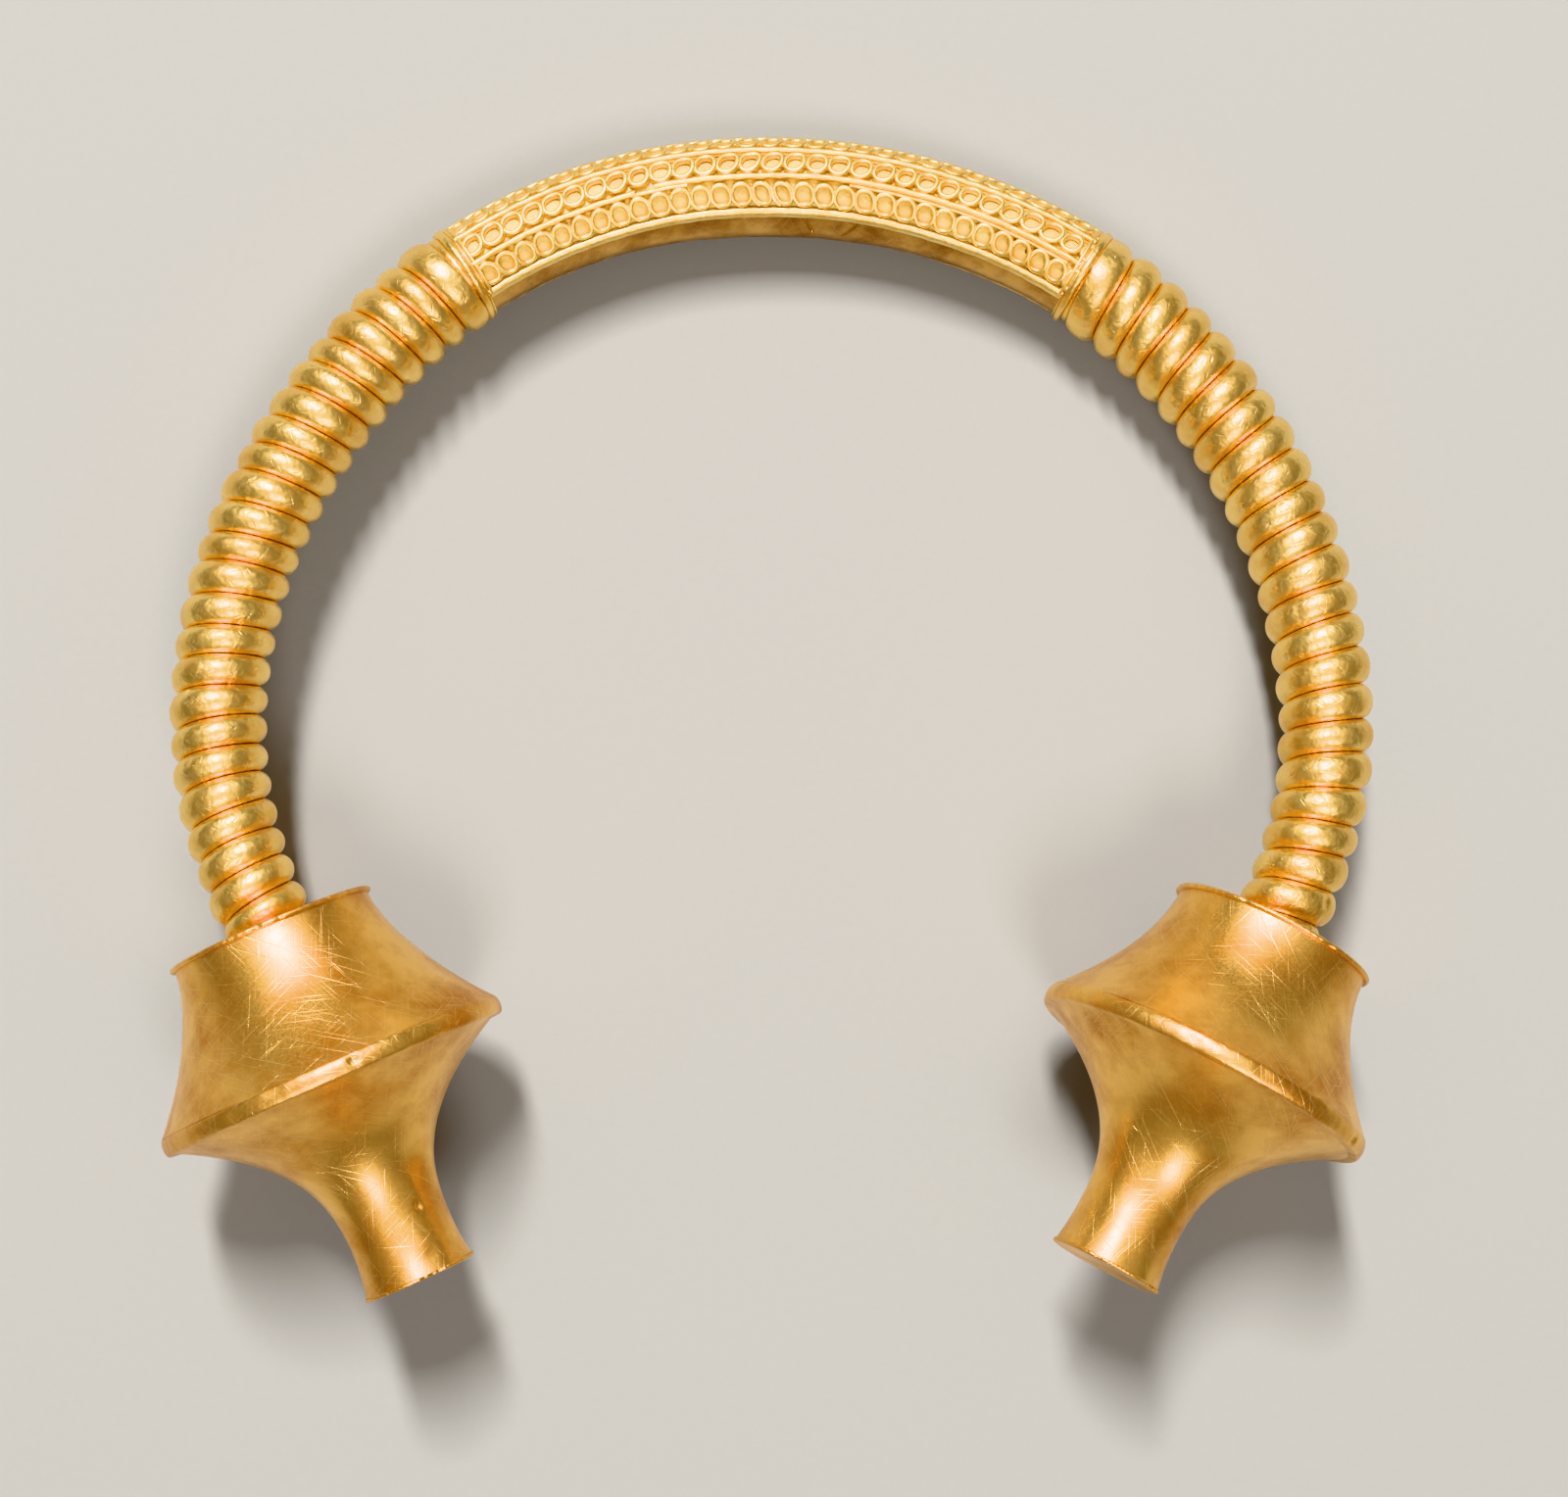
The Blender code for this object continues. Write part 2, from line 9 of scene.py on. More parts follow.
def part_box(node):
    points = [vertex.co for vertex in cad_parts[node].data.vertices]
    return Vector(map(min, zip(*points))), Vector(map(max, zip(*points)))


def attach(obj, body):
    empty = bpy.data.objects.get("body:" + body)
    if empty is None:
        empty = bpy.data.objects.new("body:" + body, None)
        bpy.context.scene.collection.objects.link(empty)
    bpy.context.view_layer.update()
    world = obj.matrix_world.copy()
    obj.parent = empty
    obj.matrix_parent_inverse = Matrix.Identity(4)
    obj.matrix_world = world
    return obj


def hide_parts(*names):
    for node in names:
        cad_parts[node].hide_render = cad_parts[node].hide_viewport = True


bl_info = {
    "name": "Gold torc",
    "version": (1, 0, 0),
    "blender": (4, 5, 0),
    "location": "View3D > Sidebar > Torc",
    "description": "Builds a wire-wound gold torc with hollow flared terminals, lying on a pale floor",
    "category": "Object",
}

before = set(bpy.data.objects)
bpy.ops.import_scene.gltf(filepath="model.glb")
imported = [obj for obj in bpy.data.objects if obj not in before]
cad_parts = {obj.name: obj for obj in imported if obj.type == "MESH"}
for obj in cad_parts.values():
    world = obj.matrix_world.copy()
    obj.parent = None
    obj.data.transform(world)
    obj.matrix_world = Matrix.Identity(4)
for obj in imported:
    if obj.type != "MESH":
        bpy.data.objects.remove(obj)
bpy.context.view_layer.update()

# The hoop's centre line: angles in degrees from the right towards the crown, and radii as shares of
# the hoop's radius
HOOP_SHAPE = (
    (-27.6, 1.029), (-10.0, 1.031), (10.0, 1.004), (30.0, 0.980), (50.0, 0.961),
    (70.0, 0.936), (90.0, 0.923), (110.0, 0.930), (130.0, 0.942), (150.0, 0.955),
    (170.0, 0.985), (190.0, 1.014), (207.0, 1.017),
)
CURVE_SAMPLES = 1920
SIDES = ("right", "left")
# The solids of pieces that touch stand this far apart. Here one piece runs in under the next by the lap.
GAP = 0.0003
HIDDEN_LAP = 0.0001
# An edge that turns by more than this many degrees is drawn sharp
CREASE = 50.0
FLOOR_REACH = 5.0
SEED = 7

# Loops of the edge row on top that lie askew, counted from the left: their lean in metres, and their
# width as a share of the usual one
SKEWED_LOOPS = (14, 15)
SKEW = -0.0005
SKEWED_WIDTH = 0.9
# How much of a row's last loop is cut off by the right collar, and how far the rest runs in under it
LAST_LOOP_CUT = 0.65
UNDER_COLLAR = 0.0006
# How far a loop rises where it laps its neighbour
LAP_RISE = 0.00022
# Sides of an ornament wire's section, and how round it is: 1 is round, and less is squarer
WIRE_SIDES = 10
WIRE_ROUNDNESS = 0.75
# The ornament's height round the bar, as (arc in metres, share kept): it is worn low underneath
UNDERSIDE_WEAR = ((-0.010, 0.66), (-0.002, 0.72), (0.006, 0.80), (0.012, 1.0))
# The upper shell meets the flange's band this share of the band's height under its crest
SHELL_UNDER_BAND = 0.45
# A turned skin closes round its axis with a hole too small to see, which is filled by a face
AXIS_HOLE = 0.0002

# The mended wire's lengths: from and to as shares of the middle, then how far it lies to the side in
# metres, and its width and height as shares of the usual ones
MENDED_WIRE = (
    (0.722, 1.0, 0.0002, 1.0, 1.0),
    (0.0, 0.690, -0.0002, 1.0, 1.0),
    (0.02, 0.385, 0.00075, 0.6, 0.75),
    (0.640, 0.728, 0.0005, 0.7, 0.7),
)


def size(name, default, description):
    """A length in metres that a user may change."""
    return bpy.props.FloatProperty(
        name=name, description=description, default=default, unit="LENGTH", precision=5
    )


def turn(name, degrees, description):
    """An angle that a user may change."""
    return bpy.props.FloatProperty(
        name=name, description=description, default=math.radians(degrees), subtype="ANGLE"
    )


def share(name, default, description):
    """A plain number that a user may change."""
    return bpy.props.FloatProperty(name=name, description=description, default=default)


def whole(name, default, description):
    """A whole number that a user may change."""
    return bpy.props.IntProperty(name=name, description=description, default=default)


def tone(name, default, description):
    """A colour as an sRGB hex value."""
    return bpy.props.StringProperty(name=name, description=description, default=default)


class TorcHoop(bpy.types.PropertyGroup):
    hoop_radius: size("Hoop radius", 0.100, "Radius that the hoop's shape is a share of")
    crown_radius: size("Crown radius", 0.0089, "Radius of the bar at its swollen middle")
    shoulder_radius: size("Shoulder radius", 0.0085, "Radius of the bar beside its collars")
    right_collar_angle: turn("Right collar", 52.3, "Where the right collar sits round the hoop")
    left_collar_angle: turn("Left collar", 127.0, "Where the left collar sits round the hoop")
    collar_width: size("Collar width", 0.0020, "Width of each collar along the bar")
    collar_proud: size("Collar height", 0.0010, "How far a collar stands over the bar")
    rod_clearance: size("Rod clearance", 0.0010, "Room between the rod and the winding on it")


class TorcOrnament(bpy.types.PropertyGroup):
    centre_lane: size("Centre lane", 0.0058, "Width of the outermost row of loops")
    middle_lane: size("Middle lane", 0.0059, "Width of the rows beside it")
    edge_lane: size("Edge lane", 0.0065, "Width of the rows beside the plain inner face")
    wire_width: size("Straight wire", 0.0012, "Width of the straight wires")
    edge_wire_width: size("Edge wire", 0.0020, "Width of the wires beside the plain inner face")
    wire_height: size("Straight wire height", 0.0008, "How far the straight wires stand out")
    loop_wire: size("Looped wire", 0.0010, "Thickness of the looped wire")
    loop_width: size("Loop width", 0.0046, "Width of a loop along the bar, over its wire")
    edge_loop_width: size("Edge loop width", 0.0046, "Width of a loop in the edge rows")
    loop_room: size("Loop room", 0.0001, "Room between a loop and the straight wires")
    loop_height: size("Loop height", 0.00082, "How far the loops stand out")
    bed_depth: size("Bed depth", 0.0009, "How far the loops' bed lies under the plain face")
    edge_loops: whole("Loops in an edge row", 31, "Loops in each row beside the plain face")
    loops: whole("Loops in a row", 30, "Loops in each other row")


class TorcWindings(bpy.types.PropertyGroup):
    left_turns: share("Left turns", 24.0, "Turns of wire on the left limb")
    right_turns: share("Right turns", 22.5, "Turns of wire on the right limb")
    collar_radius: size("Radius at the collar", 0.0098, "Radius over the turns beside the collar")
    terminal_radius: size("Radius at the disc", 0.0083, "Radius over the turns beside the terminal")
    left_start: turn("Left start", 208.0, "How far round the limb the left winding is turned")
    right_start: turn("Right start", 90.0, "How far round the limb the right winding is turned")
    wire_depth: size("Wire depth", 0.0040, "Thickness of the wound wire, from its back to its face")
    groove_depth: size("Groove depth", 0.0021, "How deep the groove between two turns goes")
    fullness: share("Fullness", 1.9, "How square the wire's face is: 2 is round, more is squarer")


class TorcTerminals(bpy.types.PropertyGroup):
    disc_radius: size("Top disc radius", 0.0193, "Radius of the disc that closes the top")
    disc_thickness: size("Top disc thickness", 0.0009, "Thickness of the top disc's rim")
    disc_overhang: size("Top disc overhang", 0.0008, "How far its rim stands out over the shell")
    flange_distance: size("Flange distance", 0.0288, "From the top disc to the flange")
    left_flange_radius: size("Left flange radius", 0.0324, "Radius of the left flange")
    right_flange_radius: size("Right flange radius", 0.0317, "Radius of the right flange")
    band_width: size("Band width", 0.0034, "Width of the band round the flange")
    band_proud: size("Band height", 0.0010, "How far the band stands out")
    left_upper_flare: share("Left upper flare", 1.62, "How late the left upper shell flares")
    right_upper_flare: share("Right upper flare", 1.8, "How late the right upper shell flares")
    lower_flare: share("Lower flare", 2.6, "How early the lower shell narrows")
    neck_radius: size("Neck radius", 0.0094, "Radius of the neck")
    neck_distance: size("Neck distance", 0.0593, "From the top disc to the neck")
    end_radius: size("End radius", 0.0105, "Radius of the end disc")
    end_thickness: size("End thickness", 0.0007, "Thickness of the end disc")
    length: size("Terminal length", 0.0680, "From the top disc to the end")
    left_turn: turn("Left turn", 23.7, "How far the left terminal turns in")
    left_lift: turn("Left lift", -2.6, "How far the left terminal rises out of the hoop's plane")
    right_turn: turn("Right turn", 28.6, "How far the right terminal turns in")
    right_lift: turn("Right lift", 1.6, "How far the right terminal rises out of the hoop's plane")


class TorcGold(bpy.types.PropertyGroup):
    sheet: tone("Sheet gold", "#F9C874", "Satin sheet gold of the terminals")
    sheet_shade: tone("Sheet shade", "#CC8D44", "Its redder, duller patches")
    # The plain face's two tones are dark partly as a brown handled patina and partly as painted shade, a dark
    # reflection painted into the colour
    face: tone("Plain face gold", "#DCAE66", "Gold of the bar's plain inner face")
    face_shade: tone("Plain face shade", "#9E6C34", "Its brown, handled patches")
    wire: tone("Wound gold", "#FFDC8A", "Burnished gold of the wound wire")
    wire_shade: tone("Wound shade", "#EEC06C", "Its duller patches")
    ornament: tone("Ornament gold", "#FFE298", "Soldered gold of the ornament")
    ornament_shade: tone("Ornament shade", "#EDC878", "Its duller patches")
    bed: tone("Bed gold", "#F2DC94", "Matt gold under the loops")
    bed_shade: tone("Bed shade", "#E4C880", "Its duller patches")


class TorcStage(bpy.types.PropertyGroup):
    camera_height: size("Camera height", 0.5603, "Camera over the floor")
    camera_x: size("Camera X", -0.0160, "Camera across the torc")
    camera_y: size("Camera Y", -0.0127, "Camera along the torc")
    yaw: turn("Yaw", 1.83, "How far the camera looks off to the right")
    pitch: turn("Pitch", 0.497, "How far the camera looks off to the crown")
    lens: bpy.props.FloatProperty(
        name="Lens", description="Focal length on a frame 36 mm wide", default=67.5, subtype="DISTANCE_CAMERA"
    )
    floor: tone("Floor", "#848382", "Pale floor")


class TorcSettings(bpy.types.PropertyGroup):
    hoop: bpy.props.PointerProperty(type=TorcHoop)
    ornament: bpy.props.PointerProperty(type=TorcOrnament)
    windings: bpy.props.PointerProperty(type=TorcWindings)
    terminals: bpy.props.PointerProperty(type=TorcTerminals)
    gold: bpy.props.PointerProperty(type=TorcGold)
    stage: bpy.props.PointerProperty(type=TorcStage)


# Dents, pits and chips on a terminal's pieces: degrees round its axis, then in millimetres the distance
# down it, the reach round it and down it, and the depth
MARKS = {
    "left_lower_shell": (
        (124.0, 56.0, 0.6, 0.6, 0.40),
        (128.0, 48.5, 3.0, 3.0, 0.30),
        (112.0, 40.0, 4.0, 4.0, 0.35),
        (116.0, 64.5, 1.6, 1.2, 0.20),
    ),
    "left_upper_shell": (
        (95.0, 13.0, 5.0, 4.0, 0.25),
        (118.0, 19.0, 6.0, 5.0, 0.25),
        (80.0, 24.0, 4.0, 2.5, 0.20),
    ),
    "left_flange_band": (
        (101.6, 28.6, 0.7, 0.7, 0.60),
        (76.0, 28.0, 1.6, 1.2, 0.18),
        (62.0, 29.2, 2.2, 1.4, 0.22),
        (122.0, 28.3, 1.8, 1.2, 0.20),
        (140.0, 29.0, 1.4, 1.0, 0.25),
    ),
    "left_end_disc": (
        (107.0, 67.7, 1.1, 1.0, 0.80),
        (115.5, 67.7, 0.6, 1.0, 0.50),
        (98.0, 67.7, 0.5, 1.0, 0.45),
    ),
    "left_top_disc": (
        (88.0, 0.4, 0.8, 1.0, 0.45),
        (101.0, 0.4, 0.5, 1.0, 0.30),
        (128.0, 0.4, 1.0, 1.0, 0.30),
    ),
    "right_lower_shell": (
        (93.8, 34.3, 0.5, 0.5, 0.50),
        (70.0, 47.0, 3.0, 3.0, 0.30),
        (105.0, 42.0, 4.5, 4.0, 0.30),
    ),
    "right_upper_shell": ((72.0, 15.0, 5.0, 4.0, 0.25), (100.0, 22.0, 6.0, 4.0, 0.25)),
    "right_flange_band": (
        (146.1, 29.2, 0.6, 0.8, 0.70),
        (98.0, 28.4, 1.6, 1.2, 0.22),
        (74.0, 29.0, 2.0, 1.2, 0.22),
        (120.0, 28.2, 1.4, 1.0, 0.22),
    ),
    "right_end_disc": (
        (145.3, 67.6, 0.8, 1.0, 0.70),
        (137.0, 67.6, 0.5, 1.0, 0.40),
        (70.0, 67.6, 0.8, 1.0, 0.30),
    ),
    "right_top_disc": ((60.0, 0.4, 0.7, 1.0, 0.35), (112.0, 0.4, 0.9, 1.0, 0.40)),
}

# Marks on the bar's middle: from and to as (share of the middle, arc in metres), the half width and
# the depth in metres. The first is a hole in a loop's bed and the others are nicks in the plain face.
BAR_MARKS = (
    ((0.0838, 0.01717), (0.0845, 0.01735), 0.00045, 0.0009),
    ((0.4488, 0.02298), (0.4373, 0.02600), 0.00042, 0.00045),
    ((0.3630, 0.02239), (0.3878, 0.02700), 0.00042, 0.00045),
)
# Where the skins have closer points, for those marks: shares of the middle, degrees round the bar and
# metres of arc
NICKED_STRETCH = np.linspace(0.351, 0.459, 90)
HOLED_STRETCH = np.linspace(0.077, 0.091, 14)
NICKED_FACE = np.arange(139.1, 188.0, 1.25)
HOLED_ARC = np.linspace(0.0162, 0.0182, 12)

# Pits and lumps on a winding: metres from the limb's end, degrees round it, reach in metres, and depth
# in metres, which is negative for a lump
WIRE_MARKS = {
    "right": (
        (0.0079, 45.5, 0.0008, 0.0007),
        (0.0110, 68.1, 0.0006, -0.0003),
        (0.0035, 46.2, 0.0008, -0.0004),
        (0.0100, 40.0, 0.0005, -0.0003),
        (0.0420, 60.0, 0.0007, 0.0003),
        (0.0610, 120.0, 0.0009, 0.0003),
    ),
    "left": (
        (0.0310, 55.0, 0.0006, 0.0003),
        (0.0560, 110.0, 0.0008, 0.0003),
        (0.0790, 75.0, 0.0006, 0.0003),
    ),
}

# Shapes along the hoop


def hoop_radii(angles, hoop_radius):
    """The centre line's radius at each angle in degrees: a smooth curve through HOOP_SHAPE."""
    knots = np.array(HOOP_SHAPE)
    last = len(knots) - 2
    index = np.clip(np.searchsorted(knots[:, 0], angles, side="right") - 1, 0, last)
    here, there = knots[index], knots[index + 1]
    before = knots[np.maximum(index - 1, 0)]
    after = knots[np.minimum(index + 2, last + 1)]
    slope_here = (there[:, 1] - before[:, 1]) / (there[:, 0] - before[:, 0])
    slope_there = (after[:, 1] - here[:, 1]) / (after[:, 0] - here[:, 0])
    span = there[:, 0] - here[:, 0]
    t = (angles - here[:, 0]) / span
    shares = (
        (2 * t**3 - 3 * t**2 + 1) * here[:, 1]
        + (t**3 - 2 * t**2 + t) * span * slope_here
        + (3 * t**2 - 2 * t**3) * there[:, 1]
        + (t**3 - t**2) * span * slope_there
    )
    return shares * hoop_radius


class CentreLine:
    """The hoop's centre line by length, counted from the right end over the crown to the left end."""

    def __init__(self, hoop_radius):
        self.angles = np.linspace(HOOP_SHAPE[0][0], HOOP_SHAPE[-1][0], CURVE_SAMPLES + 1)
        radii = hoop_radii(self.angles, hoop_radius)
        turns = np.radians(self.angles)
        self.points = np.stack([np.cos(turns) * radii, np.sin(turns) * radii, 0 * radii], 1)
        steps = np.linalg.norm(np.diff(self.points, axis=0), axis=1)
        self.lengths = np.concatenate([[0.0], np.cumsum(steps)])
        self.total = self.lengths[-1]
        travel = np.gradient(self.points, self.lengths, axis=0)
        self.travel = travel / np.linalg.norm(travel, axis=1, keepdims=True)

    def length_at(self, angle):
        return float(np.interp(math.degrees(angle), self.angles, self.lengths))

    def along(self, length, values):
        inside = np.clip(length, 0.0, self.total)
        return np.stack([np.interp(inside, self.lengths, values[:, i]) for i in range(3)], -1)

    def frames(self, length):
        """Centres, directions of travel and outward directions; past an end the line runs straight."""
        travel = self.along(length, self.travel)
        beyond = length - np.clip(length, 0.0, self.total)
        centre = self.along(length, self.points) + travel * beyond[..., None]
        outward = np.stack([travel[..., 1], -travel[..., 0], 0 * travel[..., 0]], -1)
        return centre, travel, outward

    def around(self, length, angle, radius):
        """Points round the bar; angle 0 is outermost and a quarter turn is the face on top."""
        length, angle, radius = np.broadcast_arrays(length, angle, radius)
        centre, _, outward = self.frames(length)
        up = np.array([0.0, 0.0, 1.0])
        aside = outward * np.cos(angle)[..., None] + up * np.sin(angle)[..., None]
        return centre + aside * radius[..., None]


class Plan:
    """Where everything sits, in the hoop's own flat frame, and how that frame is laid down."""

    def __init__(self, settings):
        self.hoop = settings.hoop
        self.ornament = settings.ornament
        self.windings = settings.windings
        self.terminals = settings.terminals
        self.line = CentreLine(self.hoop.hoop_radius)
        self.right_collar = self.line.length_at(self.hoop.right_collar_angle)
        self.left_collar = self.line.length_at(self.hoop.left_collar_angle)
        beside = self.hoop.collar_width / 2
        self.start = self.right_collar + beside
        self.end = self.left_collar - beside
        self.limbs = {
            "right": (0.0, self.right_collar - beside),
            "left": (self.line.total, self.left_collar + beside),
        }
        self.laid_down = self.lay_down()

    def axis(self, side):
        """The direction in which a terminal points."""
        t = self.terminals
        mirror = -1 if side == "right" else 1
        inward = getattr(t, side + "_turn")
        lift = getattr(t, side + "_lift")
        return Vector((
            mirror * math.sin(inward) * math.cos(lift),
            -math.cos(inward) * math.cos(lift),
            math.sin(lift),
        ))

    def terminal_top(self, side):
        end = self.line.points[0] if side == "right" else self.line.points[-1]
        return Vector(end) + self.axis(side) * GAP

    def terminal_place(self, side):
        """The frame of a terminal: its axis runs down -Z from the top disc's face."""
        turned = (-self.axis(side)).to_track_quat("Z", "Y").to_matrix().to_4x4()
        return self.laid_down @ Matrix.Translation(self.terminal_top(side)) @ turned

    def lay_down(self):
        """The move that takes four known centres of the flat hoop onto the same four of the frame."""
        t = self.terminals
        collars = (self.right_collar, self.left_collar)
        flat = [Vector(self.line.frames(np.array(collar))[0]) for collar in collars]
        to_end = t.length - t.end_thickness / 2
        flat += [self.terminal_top(side) + self.axis(side) * to_end for side in SIDES]
        nodes = [side + part for part in ("_collar", "_end_disc") for side in SIDES]
        laid = [sum(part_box(node), Vector()) / 2 for node in nodes]
        return self.basis(laid) @ self.basis(flat).inverted()

    @staticmethod
    def basis(places):
        """A frame that sits between the two collars and looks towards the two end discs."""
        middle = (places[0] + places[1]) / 2
        across = (places[0] - places[1]).normalized()
        down = (places[2] + places[3]) / 2 - middle
        up = down.cross(across).normalized()
        turned = Matrix((across, up.cross(across), up)).transposed().to_4x4()
        return Matrix.Translation(middle) @ turned

    def middle_radius(self, length):
        """The bar's plain surface, which swells towards the crown."""
        part = np.clip((length - self.start) / (self.end - self.start), 0.0, 1.0)
        swell = np.sin(np.pi * part) ** 2
        return self.hoop.shoulder_radius + (self.hoop.crown_radius - self.hoop.shoulder_radius) * swell

    def wound_radius(self, part):
        """The radius over the turns; part runs from the collar to the terminal."""
        w = self.windings
        return w.collar_radius + (w.terminal_radius - w.collar_radius) * np.clip(part, 0.0, 1.0)

    def on_bar(self, length, arc, height):
        """Points on the bar's middle, by arc from its outermost line and height over its surface."""
        radius = self.middle_radius(length)
        return self.line.around(length, arc / radius, radius + height)

    @staticmethod
    def room_under(arc):
        """The share of its height that the ornament keeps at an arc: less on the worn underside."""
        return np.interp(arc, *zip(*UNDERSIDE_WEAR))

    def lanes(self):
        """The arcs of the eight straight wires, from the underside to the face on top."""
        o = self.ornament
        inmost = o.centre_lane / 2
        side = [inmost, inmost + o.middle_lane, inmost + 2 * o.middle_lane]
        side.append(side[-1] + o.edge_lane)
        return [-arc for arc in reversed(side)] + side


def unrolled(grid):
    """Distances over a skin, round its rings and from ring to ring, so that marks lie flat on it."""
    closed = np.concatenate([grid, grid[:, :1]], 1)
    closed = np.concatenate([closed, closed[:1]], 0)
    steps = np.linalg.norm(np.diff(closed, axis=1), axis=2)
    round_it = np.concatenate([np.zeros((len(steps), 1)), np.cumsum(steps, axis=1)], 1)
    round_it = round_it - round_it[:, grid.shape[1] // 2, None]
    onward = np.linalg.norm(np.diff(closed, axis=0), axis=2).mean(axis=1)
    onward = np.concatenate([[0.0], np.cumsum(onward)])
    return np.stack(np.broadcast_arrays(round_it, onward[:, None]), -1)


class Metalwork:
    """Collects closed skins into one mesh."""

    def __init__(self):
        self.points = []
        self.faces = []
        self.surface = []
        self.count = 0

    def skin(self, grid, looped=False):
        """grid is rings of points; each ring is closed. looped joins the last ring to the first."""
        rings, sides = grid.shape[:2]
        index = self.count + np.arange(rings * sides).reshape(rings, sides)
        lower = index if looped else index[:-1]
        upper = np.roll(index, -1, axis=0) if looped else index[1:]
        quads = np.stack([lower, np.roll(lower, -1, 1), np.roll(upper, -1, 1), upper], -1)
        self.faces += quads.reshape(-1, 4).tolist()
        flat = unrolled(grid)
        low, high = flat[: len(lower)], flat[1 : len(lower) + 1]
        corners = np.stack([low[:, :-1], low[:, 1:], high[:, 1:], high[:, :-1]], 2)
        self.surface.append(corners.reshape(-1, 2))
        if not looped:
            for end, place in ((0, 0), (-1, rings - 1)):
                self.faces.append(index[end].tolist())
                self.surface.append(flat[place, :-1])
        self.points.append(grid.reshape(-1, 3))
        self.count += rings * sides

    def piece(self, name, place, material, slot, *nodes):
        """One object of everything collected; it rides on the torc and stands for the CAD nodes."""
        mesh = bpy.data.meshes.new(name)
        mesh.from_pydata(np.concatenate(self.points).tolist(), [], self.faces)
        mesh.transform(place)
        mesh.uv_layers.new(name="surface").uv.foreach_set("vector", np.concatenate(self.surface).ravel())
        shape = bmesh.new()
        shape.from_mesh(mesh)
        bmesh.ops.recalc_face_normals(shape, faces=shape.faces)
        shape.to_mesh(mesh)
        shape.free()
        mesh.shade_smooth()
        mesh.set_sharp_from_angle(angle=math.radians(CREASE))
        mesh.materials.append(material)
        piece = bpy.data.objects.new(name, mesh)
        bpy.context.scene.collection.objects.link(piece)
        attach(piece, "root")
        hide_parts(*nodes)


def wavy(values, *waves):
    """A smooth wander: a sum of sines, each given as size, speed and start."""
    return sum(amount * np.sin(speed * values + start) for amount, speed, start in waves)


def full_circle(steps):
    """The angles of evenly spaced points round a circle."""
    return np.arange(steps) * 2 * np.pi / steps


def wrapped(angles):
    """The same angles within half a turn of 0."""
    return (angles + np.pi) % (2 * np.pi) - np.pi


def with_closer(steps, *stretches):
    """The steps, and closer ones in some stretches."""
    return np.sort(np.concatenate([steps, *stretches]))


def bent_wire(plan, path, half_width, half_height, looped=False):
    """A wire's sections along a path of (length, arc, height) on the bar's middle."""
    if looped:
        ahead, behind = np.roll(path, -1, 0), np.roll(path, 1, 0)
    else:
        ahead = np.concatenate([path[1:], path[-1:]])
        behind = np.concatenate([path[:1], path[:-1]])
    travel = (ahead - behind)[:, :2]
    travel /= np.linalg.norm(travel, axis=1, keepdims=True)
    angles = full_circle(WIRE_SIDES)
    # Solder has filled the wire's flanks, so its crest is broad and its sides are steep
    flat = np.sign(np.cos(angles)) * np.abs(np.cos(angles)) ** WIRE_ROUNDNESS
    tall = np.sign(np.sin(angles)) * np.abs(np.sin(angles)) ** WIRE_ROUNDNESS
    across = np.broadcast_to(half_width, len(path))[:, None] * flat
    up = np.broadcast_to(half_height, len(path))[:, None] * tall
    length = path[:, None, 0] + travel[:, None, 1] * across
    arc = path[:, None, 1] - travel[:, None, 0] * across
    return plan.on_bar(length, arc, path[:, None, 2] + up)


def bar_marks(plan, length, arc):
    """How deep the marks cut at each place on the bar's middle."""
    # Each mark has sloping walls and a narrow flat floor
    steepness = 1.3
    span = plan.end - plan.start
    depth = 0.0
    for (first, low), (last, high), half_width, deep in BAR_MARKS:
        start = np.array([plan.start + span * first, low])
        run = np.array([plan.start + span * last, high]) - start
        part = ((length - start[0]) * run[0] + (arc - start[1]) * run[1]) / (run @ run)
        part = np.clip(part, 0.0, 1.0)
        away = np.hypot(length - start[0] - run[0] * part, arc - start[1] - run[1] * part)
        depth = depth + deep * np.clip(steepness * (1 - away / half_width), 0.0, 1.0)
    return depth


def blob(plan, length, arc, long, wide, tall):
    """A rounded lump on the bar's middle, as rings of points."""
    # The rings start and end just off its tips
    tip = 0.02
    rise = np.linspace(tip, np.pi - tip, 9)
    around = full_circle(14)
    along = length + long * np.sin(rise)[:, None] * np.cos(around)
    across = arc + wide * np.sin(rise)[:, None] * np.sin(around)
    return plan.on_bar(along, across, tall * np.cos(rise)[:, None] + 0 * around)


# Finishes


def linear(hex_tone):
    """An sRGB hex value as linear colour."""
    parts = [int(hex_tone[i : i + 2], 16) / 255 for i in (1, 3, 5)]
    return [p / 12.92 if p <= 0.04045 else ((p + 0.055) / 1.055) ** 2.4 for p in parts] + [1.0]


def add(tree, kind, inputs=None, **settings):
    """Adds a node with its settings, and links or sets each input, which goes by its name or place.

    A Map Range's places are: value, from low, from high, to low and to high.
    """
    node = tree.nodes.new(kind)
    for name, value in settings.items():
        setattr(node, name, value)
    for name, value in (inputs or {}).items():
        if isinstance(value, bpy.types.NodeSocket):
            tree.links.new(value, node.inputs[name])
        else:
            node.inputs[name].default_value = value
    return node.outputs[0]


def per_metre(millimetres):
    return 1000.0 / millimetres


